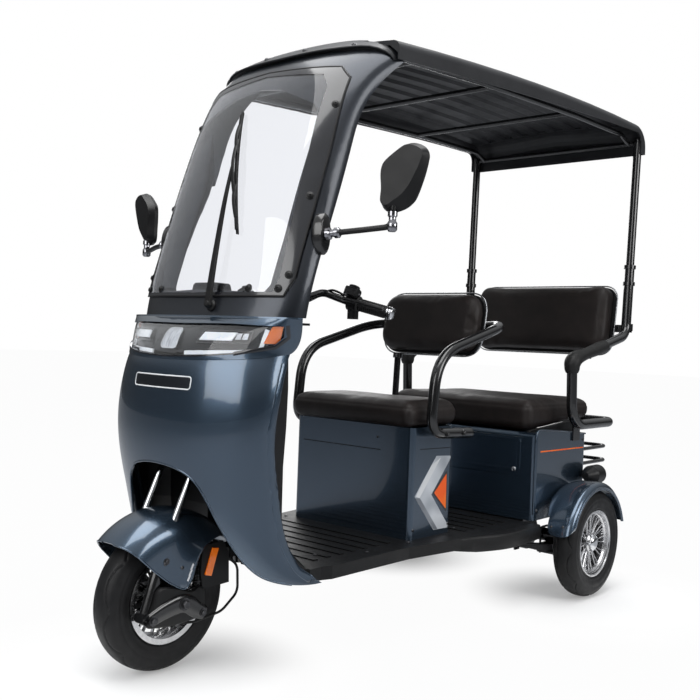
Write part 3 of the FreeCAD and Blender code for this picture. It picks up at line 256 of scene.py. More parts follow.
PAINT = metallic_paint("slate_paint", (0.036, 0.061, 0.094), (0.066, 0.101, 0.146))
COWL = metallic_paint("graphite_cowl", (0.022, 0.025, 0.031), (0.040, 0.045, 0.055), 0.34, 0.45, 0.14)
ROOF = moulded_plastic("canopy_sheet", (0.021, 0.0215, 0.0235), 0.34, 700, 0.15)
TUBE = gloss_coat("black_tube", (0.006, 0.006, 0.0065), 0.2)
PLASTIC = moulded_plastic("black_plastic", (0.005, 0.005, 0.0054), 0.40)
FLOOR_PLASTIC = moulded_plastic("floor_plastic", (0.0055, 0.0055, 0.0058), 0.44, 1200, 0.4)
SEAT = leatherette("leatherette", (0.0115, 0.0082, 0.0075), (0.0160, 0.0116, 0.0104))
RUBBER = tyre_rubber("tyre_rubber", (0.0035, 0.0035, 0.0040), (0.0065, 0.0065, 0.0072))
GRIP = moulded_plastic("grip_rubber", (0.010, 0.010, 0.010), 0.5, 500, 0.4)
ALLOY = bare_metal("cast_alloy", (0.66, 0.66, 0.67), 0.20)
CHROME = bare_metal("chrome_plate", (0.74, 0.75, 0.77), 0.09)
DARK_CHROME = bare_metal("smoked_chrome", (0.34, 0.34, 0.36), 0.12)
STEEL = bare_metal("spring_steel", (0.11, 0.11, 0.115), 0.40)
BOLT = bare_metal("blackened_bolt", (0.09, 0.09, 0.095), 0.34)
PIPING = bare_metal("silver_piping", (0.46, 0.47, 0.49), 0.3)
CLEAR = clear_plastic("windshield_clear", (0.87, 0.885, 0.925))
LENS = clear_plastic("lamp_clear", (0.93, 0.95, 0.97))
LAMP_DARK = moulded_plastic("lamp_interior", (0.020, 0.021, 0.024), 0.22, 300, 0.1)
LAMP_WHITE = lens_plastic("lamp_white", (0.80, 0.83, 0.88), 420, 0.35)
REFLECTOR = bare_metal("lamp_reflector", (0.70, 0.72, 0.76), 0.12)
AMBER = lens_plastic("amber_lens", (0.88, 0.17, 0.006))
RED = lens_plastic("red_lens", (0.42, 0.008, 0.008), 300, 0.05)
BORDER = gloss_coat("printed_border", (0.010, 0.0105, 0.013), 0.16)
SILVER_FILM = film("silver_film", (0.34, 0.37, 0.41), (0.62, 0.65, 0.69), 9.0)
# film for the painted shade on the chevron's lower facet
PAINTED_SHADE_FILM = film("painted_shade_film", (0.15, 0.165, 0.19), (0.24, 0.26, 0.29))
WHITE_FILM = film("white_film", (0.70, 0.72, 0.74), (0.82, 0.83, 0.84))
ORANGE_FILM = film("orange_film", (0.95, 0.115, 0.001), (1.0, 0.18, 0.004), 14.0, 0.4, 0.15)
BLACK_FILM = film("black_film", (0.006, 0.006, 0.007), (0.011, 0.011, 0.012))
MIRROR_GLASS = bare_metal("mirror_glass", (0.80, 0.82, 0.84), 0.04)
# dark rubber of the pane's gasket, also used for painted shade along the box steps and under the roof's lip
DARK_GASKET_AND_SHADE = moulded_plastic("dark_gasket_and_painted_shade", (0.004, 0.004, 0.0045), 0.5, 500, 0.2)

NODE_MATERIALS = {
    PAINT: "front_fairing lamp_bezel front_fender front_seat_box rear_seat_box rear_box_flap rear_fenders",
    COWL: "windshield_frame",
    ROOF: "roof_panel",
    TUBE: "front_fork fork_links handlebar chassis_frame roof_rails rear_hoop rear_axle backrest_post "
          "front_armrests rear_rack front_brake",
    PLASTIC: "splash_guards hand_controls leg_shield wiper battery_pack brake_cable tail_lamps mirrors",
    FLOOR_PLASTIC: "floor_board",
    SEAT: "front_cushion front_backrest rear_cushion rear_backrest",
    RUBBER: "front_tyre rear_tyre_left rear_tyre_right",
    GRIP: "grips rear_arm_pads",
    ALLOY: "front_rim rear_rim_left rear_rim_right",
    STEEL: "leaf_springs",
    CLEAR: "windshield",
    LENS: "lamp_lens",
    LAMP_DARK: "lamp_core",
    # the fork reflectors, which are no lamps, get the amber lens's painted glow too
    AMBER: "turn_signals fork_reflectors",
}
for material, names in NODE_MATERIALS.items():
    for name in names.split():
        nodes[name].data.materials.clear()
        nodes[name].data.materials.append(material)


# Camera, light and floor
def link(name, data):
    """Object of the scene from its data."""
    made = bpy.data.objects.new(name, data)
    bpy.context.scene.collection.objects.link(made)
    return made


def place_camera():
    """Camera at the photograph's viewpoint, worked out from its fit to the wheels and body."""
    turn, pitch, roll = 0.714343, 0.012364, 0.038232
    focal_pixels, image_width = 918.38, 700.0
    ahead = Vector((-math.sin(turn) * math.cos(pitch), math.cos(turn) * math.cos(pitch),
                    -math.sin(pitch)))
    right = Vector((math.cos(turn), math.sin(turn), 0.0))
    up = right.cross(ahead)
    right_rolled = right * math.cos(roll) + up * math.sin(roll)
    up_rolled = up * math.cos(roll) - right * math.sin(roll)
    data = bpy.data.cameras.new("photo_camera")
    data.sensor_width = 36.0
    data.lens = data.sensor_width * focal_pixels / image_width
    camera = link("photo_camera", data)
    basis = Matrix((right_rolled, up_rolled, -ahead)).transposed().to_4x4()
    camera.matrix_world = Matrix.Translation(at(1931.7, -3044.1, 883.1)) @ basis
    bpy.context.scene.camera = camera


def area_light(name, place, target, width, height, power):
    """Soft box that points at a place."""
    data = bpy.data.lights.new(name, "AREA")
    data.shape = "RECTANGLE"
    data.size, data.size_y, data.energy = width, height, power
    light = link(name, data)
    light.location = place
    light.rotation_euler = (Vector(target) - light.location).to_track_quat("-Z", "Y").to_euler()
    light.visible_camera = False
    light.visible_transmission = False


def show_white(tree, shader, white, surface, share=None):
    """Camera and transmission rays see white, in full or for a share; the others see the shader."""
    path = add_node(tree, "LightPath")
    factor = combine(tree, "MAXIMUM", path.outputs["Is Camera Ray"], path.outputs["Is Transmission Ray"])
    if share is not None:
        factor = combine(tree, "MULTIPLY", factor, share)
    mix = add_node(tree, "MixShader")
    tree.links.new(factor, mix.inputs["Fac"])
    tree.links.new(shader, mix.inputs[1])
    tree.links.new(white, mix.inputs[2])
    tree.links.new(mix.outputs["Shader"], surface)


def light_studio():
    """Surroundings that are bright above and dark at the horizon, and large soft boxes."""
    world = bpy.data.worlds.new("studio")
    bpy.context.scene.world = world
    world.use_nodes = True
    tree = world.node_tree
    split, ramp = add_node(tree, "SeparateXYZ"), add_node(tree, "ValToRGB")
    tree.links.new(add_node(tree, "TexCoord").outputs["Generated"], split.inputs["Vector"])
    tree.links.new(split.outputs["Z"], ramp.inputs["Fac"])
    levels = [(0.0, 0.07), (0.12, 0.09), (0.34, 0.42), (0.62, 0.85), (1.0, 1.0)]
    ramp_colours(ramp, [(place, (level * 0.96, level * 0.98, level)) for place, level in levels])
    background = tree.nodes["Background"]
    background.inputs["Strength"].default_value = 0.7
    tree.links.new(ramp.outputs["Color"], background.inputs["Color"])
    white = add_node(tree, "Background", Color=(1.0, 1.0, 1.0, 1.0))
    show_white(tree, background.outputs["Background"], white.outputs["Background"],
               tree.nodes["World Output"].inputs["Surface"])
    middle = (0.0, 0.0, 0.9)
    area_light("top_box", (0.3, -0.4, 4.2), middle, 3.4, 4.4, 190)
    area_light("front_box", (0.4, -5.0, 2.6), (0.0, -0.9, 0.7), 3.6, 2.6, 100)
    area_light("side_box", (4.6, 0.9, 2.3), middle, 2.6, 1.6, 70)
    area_light("back_box", (-3.4, 3.2, 2.6), middle, 2.6, 2.4, 60)


def make_floor():
    """Pale studio floor that turns white away from the wheels and keeps their shadows."""
    pale, far_tone, reach = (0.90, 0.90, 0.90), (0.34, 0.35, 0.37), 30.0
    material = new_material("studio_floor", pale, 0.7)
    vary_roughness(material, noise(material, 3), 0.6, 0.8)
    tree = material.node_tree
    place = add_node(tree, "TexCoord")
    nearest = None
    for x, y in [(0.0, FRONT_AXLE), (TRACK, 0.0), (-TRACK, 0.0)]:
        spot = add_node(tree, "VectorMath", "DISTANCE")
        spot.inputs[1].default_value = at(x, y, 0.0)
        tree.links.new(place.outputs["Object"], spot.inputs[0])
        distance = spot.outputs["Value"]
        nearest = distance if nearest is None else combine(tree, "MINIMUM", nearest, distance)
    vary_colour(material, nearest, pale, far_tone, 0.34, 0.60)
    fade = add_node(tree, "MapRange")
    fade.interpolation_type = "SMOOTHSTEP"
    for name, value in [("From Min", 0.10), ("From Max", 0.46), ("To Min", 0.25), ("To Max", 0.97)]:
        fade.inputs[name].default_value = value
    tree.links.new(nearest, fade.inputs["Value"])
    show_white(tree, shader_of(material).outputs["BSDF"], add_node(tree, "Emission").outputs["Emission"],
               tree.nodes["Material Output"].inputs["Surface"], fade.outputs["Result"])
    mesh = bpy.data.meshes.new("studio_floor")
    mesh.from_pydata([(x * reach, y * reach, 0) for x, y in [(-1, -1), (1, -1), (1, 1), (-1, 1)]], [],
                     [(0, 1, 2, 3)])
    mesh.materials.append(material)
    floor = link("studio_floor", mesh)
    floor.location.z = -0.0005


place_camera()
light_studio()
make_floor()
bpy.context.scene.view_settings.view_transform = "Standard"


# Mesh tools
class Pile:
    """Vertices and faces of one piece, gathered from its parts."""

    def __init__(self, *parts):
        self.verts, self.faces = [], []
        self.add(*parts)

    def add(self, *parts):
        for verts, faces in parts:
            start = len(self.verts)
            self.verts.extend(verts)
            self.faces.extend(tuple(index + start for index in face) for face in faces)

    def piece(self, name, material, angle=35.0, body="chassis", slot=None):
        """The gathered mesh as a piece that rides on a body, with edges sharp above an angle."""
        mesh = bpy.data.meshes.new(name)
        mesh.from_pydata([tuple(v) for v in self.verts], [], self.faces)
        work = bmesh.new()
        work.from_mesh(mesh)
        bmesh.ops.remove_doubles(work, verts=work.verts, dist=0.000001)
        bmesh.ops.recalc_face_normals(work, faces=work.faces)
        work.to_mesh(mesh)
        work.free()
        mesh.shade_smooth()
        mesh.set_sharp_from_angle(angle=math.radians(angle))
        mesh.materials.append(material)
        made = link(name, mesh)
        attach(made, body)
        return made


def piles(count):
    """A number of empty piles."""
    return [Pile() for _ in range(count)]


def oval(wide, high, steps):
    """Oval section in mm from its half width and half height."""
    return [(wide * math.cos(t), high * math.sin(t)) for t in turns(steps)]


def circle(radius, steps=12):
    """Section of a round bar."""
    return oval(radius, radius, steps)


def slab(width, low, high):
    """Flat section of a strip: its width, and its faces' heights, in mm."""
    half, shoulder = width / 2, high * 0.7 + low * 0.3
    return [(-half, low), (half, low), (half, shoulder), (half * 0.86, high), (-half * 0.86, high),
            (-half, shoulder)]


def joined(rows, size, closed=False, capped=True):
    """Faces through rows of points of equal size, in a ring or with both ends capped."""
    faces = []
    for i in range(rows if closed else rows - 1):
        one, two = i * size, (i + 1) % rows * size
        faces.extend((one + j, one + (j + 1) % size, two + (j + 1) % size, two + j) for j in range(size))
    if capped and not closed:
        faces.append(tuple(range(size))[::-1])
        faces.append(tuple(range((rows - 1) * size, rows * size)))
    return faces


def sweep(line, section, closed=False, up=None, scale=None):
    """Section carried along a line of points; up is its height direction, scale its size at each point."""
    count = len(line)
    tangents = []
    for i in range(count):
        before = line[i - 1] if closed or i > 0 else line[i]
        after = line[(i + 1) % count] if closed or i < count - 1 else line[i]
        tangents.append((after - before).normalized())
    height = up if isinstance(up, Vector) else tangents[0].orthogonal()
    verts = []
    for i, place in enumerate(line):
        if isinstance(up, list):
            height = up[i]
        height = (height - tangents[i] * height.dot(tangents[i])).normalized()
        across = tangents[i].cross(height)
        size = scale[i] * MM if scale else MM
        verts.extend(place + (across * u + height * v) * size for u, v in section)
    return verts, joined(count, len(section), closed)


def loft(rows):
    """Closed form through rows of points of equal count."""
    return [p for row in rows for p in row], joined(len(rows), len(rows[0]))


def lathe(profile, place, axis, steps=32):
    """Turned form: (radius, height) in mm along an axis from a place, closed where the radius is 0."""
    axis = axis.normalized()
    side = axis.orthogonal().normalized()
    other = axis.cross(side)
    verts = [place + ((side * math.cos(t) + other * math.sin(t)) * radius + axis * height) * MM
             for radius, height in profile for t in turns(steps)]
    return verts, joined(len(profile), steps, capped=False)


def ring(profile, place, axis, steps=64):
    """Turned form with a closed profile."""
    return lathe(profile + profile[:1], place, axis, steps)


def shell(outer, inner, columns, edges, ends=True):
    """Thin sheet between two grids of points, closed at the columns in edges and at its ends."""
    size, count = columns + 1, len(outer)
    rows = count // size - 1
    faces = []
    for i in range(rows):
        for j in range(columns):
            a = i * size + j
            faces.append((a, a + 1, a + size + 1, a + size))
            faces.append((a + count, a + size + count, a + size + 1 + count, a + 1 + count))
        for j in edges:
            a = i * size + j
            faces.append((a, a + size, a + size + count, a + count))
    for i in (0, rows) if ends else ():
        for a in range(i * size, i * size + columns):
            faces.append((a, a + 1, a + 1 + count, a + count))
    return outer + inner, faces


def hex_bolt(place, axis, radius, height=None):
    """Bolt head with a chamfer, on a washer."""
    height = height or radius * 1.1
    washer = [(0, 0), (radius * 1.45, 0), (radius * 1.5, radius * 0.25), (0, radius * 0.25)]
    head = [(0, 0), (radius, 0), (radius, height * 0.8), (radius * 0.86, height), (0, height)]
    return lathe(washer, place, axis, 24), lathe(head, place, axis, 6)


def dome_screw(place, axis, radius):
    """Button-head screw with a socket."""
    profile = [(0, 0.16), (0.38, 0.16), (0.42, 0.62), (0.66, 0.56), (0.9, 0.34), (1, 0), (0, 0)]
    return lathe([(r * radius, h * radius) for r, h in profile], place, axis, 20)


def smooth_value(a, b, c, d, t):
    """Value at a share t between b and c on a smooth curve."""
    return 0.5 * ((2 * b) + (c - a) * t + (2 * a - 5 * b + 4 * c - d) * t * t
                  + (3 * b - a - 3 * c + d) * t ** 3)


def curve_through(points, per_span=8, closed=False):
    """Smooth line through points."""
    count = len(points)
    line = []
    for i in range(count if closed else count - 1):
        a = points[i - 1] if closed or i > 0 else points[i]
        b, c = points[i], points[(i + 1) % count]
        d = points[(i + 2) % count] if closed or i + 2 < count else c
        line.extend(smooth_value(a, b, c, d, step / per_span) for step in range(per_span))
    if not closed:
        line.append(points[-1].copy())
    return line


def corner_arc(start, here, end, steps):
    """Smooth bend from a start to an end at a corner."""
    shares = [step / steps for step in range(steps + 1)]
    return [start * (1 - t) ** 2 + here * 2 * t * (1 - t) + end * t * t for t in shares]


def bent(points, reaches, steps=8):
    """Line with straight runs and a smooth bend at each inner point."""
    line = [points[0].copy()]
    for i, reach in enumerate(reaches, 1):
        here = points[i]
        back, on = points[i - 1] - here, points[i + 1] - here
        start = here + back.normalized() * min(reach * MM, back.length * 0.49)
        end = here + on.normalized() * min(reach * MM, on.length * 0.49)
        line.extend(corner_arc(start, here, end, steps))
    return line + [points[-1].copy()]


def rounded_outline(corners, radius, steps=6):
    """Closed outline in two dimensions with rounded corners."""
    line = []
    for i, corner in enumerate(corners):
        here = Vector(corner)
        back, on = Vector(corners[i - 1]) - here, Vector(corners[(i + 1) % len(corners)]) - here
        reach = min(radius, back.length * 0.48, on.length * 0.48)
        line.extend(corner_arc(here + back.normalized() * reach, here, here + on.normalized() * reach,
                               steps))
    return line


def divided(line, gap, closed=False):
    """The same line in steps of about a gap."""
    made = []
    count = len(line)
    for i in range(count if closed else count - 1):
        a, b = line[i], line[(i + 1) % count]
        parts = max(1, round((b - a).length / gap))
        made.extend(a.lerp(b, step / parts) for step in range(parts))
    return made if closed else made + [line[-1]]


def surface(*names):
    """Surfaces of CAD nodes or pieces of the scene, for placing trim on them."""
    verts, faces = [], []
    for name in names:
        mesh = (nodes[name] if name in nodes else bpy.data.objects[name]).data
        start = len(verts)
        verts.extend(v.co.copy() for v in mesh.vertices)
        faces.extend(tuple(start + i for i in p.vertices) for p in mesh.polygons)
    return BVHTree.FromPolygons(verts, faces)


def onto(skin, place, direction, before=0.4):
    """Where a ray through a place first meets a surface, and the surface's outward normal."""
    hit, normal, _, _ = skin.ray_cast(place - direction * before, direction)
    if hit is None:
        hit, normal, _, _ = skin.find_nearest(place)
    if normal.dot(direction) > 0:
        normal = -normal
    return hit, normal


def all_onto(skin, line, direction, before=0.4):
    """The hits and the normals of a line that is laid on a surface."""
    found = [onto(skin, place, direction, before) for place in line]
    return [hit for hit, _ in found], [normal for _, normal in found]


def screw_on(skin, place, direction, radius, before=0.4):
    """Button-head screw where a ray through a place meets a surface."""
    return dome_screw(*onto(skin, place, direction, before), radius)


def strip_on(skin, line, direction, section, closed=False, before=0.4):
    """Strip or bead with that section along a line that is laid on a surface."""
    places, ups = all_onto(skin, line, direction, before)
    return sweep(places, section, closed, ups)


def front_points(points, side=1):
    """Places in front of the body from X and Z."""
    return [at(side * x, AHEAD, z) for x, z in points]


def side_points(points, side):
    """Places beside the body from Y and Z."""
    return [at(side * BESIDE, y, z) for y, z in points]


def front_strip(skin, points, side, gap, section, closed=False):
    """Strip on the front of a surface along points of X and Z."""
    return strip_on(skin, divided(front_points(points, side), gap * MM, closed), BACK, section, closed)


def decal_on(skin, outline, direction, lift, depth, gap, before=0.4):
    """Film with an outline of points on a surface; lift is its face's height and depth its thickness."""
    work = bmesh.new()
    ring_verts = [work.verts.new(p) for p in outline]
    for triangle in tessellate_polygon([outline]):
        work.faces.new([ring_verts[i] for i in triangle])
    for _ in range(6):
        long_edges = [e for e in work.edges if e.calc_length() > gap * MM]
        if not long_edges:
            break
        bmesh.ops.subdivide_edges(work, edges=long_edges, cuts=1)
        bmesh.ops.triangulate(work, faces=work.faces)
    low = []
    for vert in work.verts:
        hit, normal = onto(skin, vert.co.copy(), direction, before)
        low.append(hit - normal * (depth - lift) * MM)
        vert.co = hit + normal * lift * MM
    work.verts.index_update()
    count = len(work.verts)
    verts = [v.co.copy() for v in work.verts] + low
    faces = [tuple(v.index for v in f.verts) for f in work.faces]
    faces += [tuple(i + count for i in reversed(f)) for f in faces]
    for edge in work.edges:
        if len(edge.link_faces) == 1:
            a, b = (v.index for v in edge.verts)
            faces.append((a, b, b + count, a + count))
    work.free()
    return verts, faces


def helix(start, end, radius, windings, steps=14):
    """Coil round the line between two points."""
    axis = (end - start).normalized()
    side = axis.orthogonal().normalized()
    other = axis.cross(side)
    total = int(windings * steps)
    return [start.lerp(end, i / total) + (side * math.cos(2 * math.pi * i / steps)
                                          + other * math.sin(2 * math.pi * i / steps)) * radius * MM
            for i in range(total + 1)]


def apply_modifiers(piece):
    """Puts what a piece's modifiers give in its mesh."""
    depsgraph = bpy.context.evaluated_depsgraph_get()
    made = bpy.data.meshes.new_from_object(piece.evaluated_get(depsgraph))
    made.name = piece.name
    piece.modifiers.clear()
    piece.data = made


def table_of(mesh, what="co"):
    """Places or normals of a mesh's vertices as a table."""
    table = np.zeros(len(mesh.vertices) * 3)
    mesh.vertices.foreach_get(what, table)
    return table.reshape(-1, 3)


def set_coords(mesh, table):
    """Moves a mesh's points to those of a table."""
    mesh.vertices.foreach_set("co", table.astype(np.float32).ravel())
    mesh.update()


# Cushions
class Cushion:
    """A stuffed piece that stands for a CAD node, swollen by a cloth simulation."""

    def __init__(self, name, node, body, rest_side, cap, voxel, start_in=5.0, base=None):
        self.node, self.body, self.cap = node, body, cap
        self.rest_side = np.array(rest_side)
        mesh = bpy.data.meshes.new(name)
        source = nodes[node].data
        verts, faces = base or ([tuple(v.co) for v in source.vertices],
                                [tuple(p.vertices) for p in source.polygons])
        mesh.from_pydata(verts, [], faces)
        work = bmesh.new()
        work.from_mesh(mesh)
        bmesh.ops.remove_doubles(work, verts=work.verts, dist=0.00002)
        work.to_mesh(mesh)
        work.free()
        table = table_of(mesh)
        low, high = table.min(0), table.max(0)
        middle, half = (low + high) / 2, (high - low) / 2
        table = middle + (table - middle) * (half - start_in * MM) / half
        # the side that it rests on stays where the carrier is
        set_coords(mesh, table + self.rest_side * start_in * MM)
        self.piece = link(name, mesh)
        grid = self.piece.modifiers.new("grid", "REMESH")
        grid.mode = "VOXEL"
        grid.voxel_size = voxel * MM
        apply_modifiers(self.piece)
        self.rest, self.normals = table_of(self.piece.data), table_of(self.piece.data, "normal")
        cloth = self.piece.modifiers.new("swell", "CLOTH").settings
        cloth.quality = 4
        cloth.use_pressure = True
        cloth.uniform_pressure_force = 4.0
        cloth.effector_weights.gravity = 0.0

    def settle(self):
        """Keeps the swollen shape up to the cap, flat on its rest side, and refines it."""
        depsgraph = bpy.context.evaluated_depsgraph_get()
        moved = table_of(self.piece.evaluated_get(depsgraph).data)
        self.piece.modifiers.clear()
        shift = moved - self.rest
        length = np.linalg.norm(shift, axis=1, keepdims=True)
        shift *= np.minimum(1.0, self.cap * MM / np.maximum(length, 1e-9))
        down = np.clip((self.normals @ self.rest_side - 0.3) / 0.4, 0.0, 1.0)
        inward = np.maximum(shift @ self.rest_side, 0.0)
        shift -= np.outer(inward * down, self.rest_side)
        set_coords(self.piece.data, self.rest + shift)
        smooth = self.piece.modifiers.new("smooth", "SMOOTH")
        smooth.factor = 0.5
        smooth.iterations = 2
        fine = self.piece.modifiers.new("fine", "SUBSURF")
        fine.levels = 1
        fine.render_levels = 1
        apply_modifiers(self.piece)

    def sink(self, distance):
        """Presses a seam into the cover where a distance in mm, of the points, is near 0."""
        depth, width = 1.6, 3.6
        mesh = self.piece.data
        table = table_of(mesh)
        share = np.exp(-(distance(table) / width) ** 2)
        set_coords(mesh, table - table_of(mesh, "normal") * (share * depth * MM)[:, None])

    def finish(self):
        mesh = self.piece.data
        mesh.shade_smooth()
        mesh.materials.clear()
        mesh.materials.append(SEAT)
        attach(self.piece, self.body)
        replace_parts(self.piece, self.node)


class Back:
    """A backrest: its foot, lean in degrees, half width, height, corner radius and half thickness, in mm."""

    def __init__(self, y, z, lean, half, height, corner, thick):
        self.origin, turn = at(0, y, z), math.radians(lean)
        self.rest_side = (0, math.cos(turn), -math.sin(turn))
        self.rise, self.rear = Vector((0, math.sin(turn), math.cos(turn))), Vector(self.rest_side)
        self.half, self.height, self.corner, self.thick = half, height, corner, thick

    def point(self, x, height, depth):
        return self.origin + (LEFT * x + self.rise * height + self.rear * depth) * MM

    def edge(self, half, low, top, corner, depth, steps):
        """Closed line with rounded corners at a depth."""
        outline = rounded_outline([(half, low), (half, top), (-half, top), (-half, low)], corner, steps)
        return [self.point(p.x, p.y, depth) for p in outline]

    def stack(self, layers, foot, less_wide=0.0, less_high=0.0):
        """Closed form from rounded outlines, each a depth and how far it is in from the edge."""
        return loft([self.edge(self.half - less_wide - inset, foot + inset, self.height - less_high - inset,
                               max(self.corner - inset * 0.6, 6.0), depth, 8)
                     for depth, inset in layers])

    def pad(self):
        """Pad with a domed front, rounded edge and flat back."""
        thick = self.thick
        return self.stack([(-thick, 30.0), (-thick + 3, 18.0), (-thick + 9, 8.0), (-thick + 18, 2.5),
                           (-thick * 0.2, 0.0), (thick - 16, 0.0), (thick - 9, 1.0)], 2.0)


FRONT_BACK = Back(-404.0, 840.0, 10.0, 214.0, 224.0, 74.0, 32.0)
REAR_BACK = Back(382.0, 860.0, 9.0, 316.0, 282.0, 60.0, 40.0)


def make_cushions():
    """The two seats and two backrests."""
    bench_lean, last_frame = 0.0766, 20
    front_seat = Cushion("front_seat_pad", "front_cushion", "front_seat_lid", (0, 0, -1), 9.0, 8.5)
    bench = Cushion("rear_seat_pad", "rear_cushion", "rear_seat_lid",
                    (0, math.sin(bench_lean), -math.cos(bench_lean)), 10.0, 9.0)
    made = [front_seat, bench,
            Cushion("front_back_pad", "front_backrest", "chassis", FRONT_BACK.rest_side, 8.0, 7.5, 3.0,
                    FRONT_BACK.pad()),
            Cushion("rear_back_pad", "rear_backrest", "chassis", REAR_BACK.rest_side, 9.0, 8.5, 3.0,
                    REAR_BACK.pad())]
    for step in range(1, last_frame + 1):
        bpy.context.scene.frame_set(step)
    for cushion in made:
        cushion.settle()
    bpy.context.scene.frame_set(1)
    front_seam, bench_seam = 676.0 * MM, 665.5 * MM
    bench_front, bench_slope = at(0, -215, 0).y, 0.008
    front_seat.sink(lambda p: (p[:, 2] - front_seam) / MM)
    bench.sink(lambda p: (p[:, 2] + (p[:, 1] - bench_front) * bench_slope - bench_seam) / MM)
    for cushion in made:
        cushion.finish()


def make_backrest_trim():
    """Board behind each backrest and the bright piping between board and cover."""
    for name, back in [("front_back", FRONT_BACK), ("rear_back", REAR_BACK)]:
        thick = back.thick
        board = back.stack([(thick - 13, 1.0), (thick - 4, 0.0), (thick - 1, 2.0), (thick, 6.0)], 4.0, 4, 3)
        Pile(board).piece(name + "_board", PLASTIC)
        line = back.edge(back.half + 1.5, 0.0, back.height + 1.0, back.corner + 2, thick - 11.5, 10)
        Pile(sweep(line, circle(2.7, 8), True, back.rear)).piece(name + "_piping", PIPING, 60)
        screws = Pile(*[dome_screw(back.point(back.half * x, back.height * rise, thick), back.rear, 6.0)
                        for x in (-0.55, 0.55) for rise in (0.22, 0.78)])
        screws.piece(name + "_board_screws", BOLT, 40)


def make_front_arms():
    """Driver's armrest tubes with even bends, standing for the plainer tubes of the frame."""
    pile = Pile()
    x, foot_z = 286.0, 598
    path = [(x, -545, 594), (x, -757, 601), (x, -734, 842), (x, -400, 934), (x - 34, -326, 947),
            (x - 90, -318, 944)]
    for side in SIDES:
        line = bent([at(side * a, b, c) for a, b, c in path], [64, 104, 60, 40], 12)
        pile.add(sweep(line, circle(17.0, 20)))
        for y in (-690, -600):
            pile.add(lathe([(0, 0), (9, 0), (9, 39), (0, 39)], at(side * 247.4, y, foot_z), LEFT * side, 16),
                     *hex_bolt(at(side * 303.0, y, foot_z), LEFT * side, 6.5))
        pile.add(lathe([(0, 0), (13, 0), (15.5, 1.5), (17.4, 1.5), (17.4, 4), (12, 7), (0, 8)], line[0],
                       BACK, 20))
    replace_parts(pile.piece("front_arm_tubes", TUBE, 40), "front_armrests")


def make_rear_arm_pads():
    """Foam sleeves that swell round the rear armrests' front bends, with their screws."""
    pile, screws = piles(2)
    for side in SIDES:
        rear, front, foot = at(side * 375, 434, 937), at(side * 372, -24, 838), at(side * 372, -13, 640)
        line = bent([front.lerp(rear, 0.56), front, front.lerp(foot, 0.24)], [46], 14)
        line = divided(line, 6.0 * MM)
        sizes = []
        for i in range(len(line)):
            t = i / (len(line) - 1)
            swell = 22.5 + 6.0 * math.exp(-((t - 0.80) / 0.20) ** 2) + 1.6 * math.sin(t * 9.0)
            sizes.append(swell * min(1.0, 0.86 + 0.14 * min(t, 1 - t) / 0.03))
        pile.add(sweep(line, circle(1.0, 24), scale=sizes))
        down = (foot - front).normalized()
        for share in (0.14, 0.30, 0.46):
            screws.add(dome_screw(front.lerp(rear, share) + down * 23.0 * MM, down, 4.5))
    made = pile.piece("rear_arm_sleeves", GRIP, 60)
    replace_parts(made, "rear_arm_pads")
    screws.piece("rear_arm_sleeve_screws", BOLT, 40)


# Wheels
def tread_cut(turn, w):
    """Depth in mm of the tread's long curved grooves at a turn and a place across the tyre."""
    arcs, depth, half_width, radius = 9, 3.4, 2.6, 185.0
    half_span = math.radians(17.5)
    shift = 0.0 if w > 0 else math.pi / arcs
    cut = 0.0
    for k in range(-1, arcs + 1):
        t = (turn - shift - 2 * math.pi * k / arcs) / half_span
        if abs(t) > 1.02:
            continue
        centre = 17.0 + 15.0 * t * t
        slope = 30.0 * t / (half_span * radius)
        distance = abs(abs(w) - centre) / math.sqrt(1 + slope * slope)
        cut = max(cut, depth * max(0.0, 1 - (distance / half_width) ** 2))
    return cut


def make_tyre(name, node, body, x, y):
    """Tyre with a rounded tread, long curved grooves, rings on the sidewalls and bead edges."""
    crown, wide, level, power = 190.0, 43.4, 152.0, 2.4
    steps, half_steps, tread_half, smooth_middle = 288, 22, 38.0, 10
    profile = []
    for i in range(-half_steps, half_steps + 1):
        w = tread_half * i / half_steps
        profile.append((w, level + (crown - level) * (1 - (abs(w) / wide) ** power) ** (1 / power)))
    wall = [(41.6, 166.0), (42.9, 163.0), (43.4, 156.0), (42.4, 153.5), (43.0, 151.0), (42.6, 143.0),
            (41.0, 135.0), (38.6, 128.0), (38.9, 125.5), (36.4, 121.5), (33.5, 119.0), (30.0, 119.5),
            (30.0, 126.0), (34.0, 140.0), (35.0, 155.0), (28.0, 170.0), (14.0, 176.0)]
    treads = len(profile)
    profile += wall + [(-w, r) for w, r in reversed(wall)]
    centre = at(x, y, AXLE_Z)
    verts = []
    for turn in turns(steps):
        out = around(turn)
        for i, (w, r) in enumerate(profile):
            if i < treads and abs(w) > smooth_middle:
                r -= tread_cut(turn, w)
            verts.append(centre + (LEFT * w + out * r) * MM)
    made = Pile((verts, joined(steps, len(profile), True))).piece(name, RUBBER, 50, body)
    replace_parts(made, node)


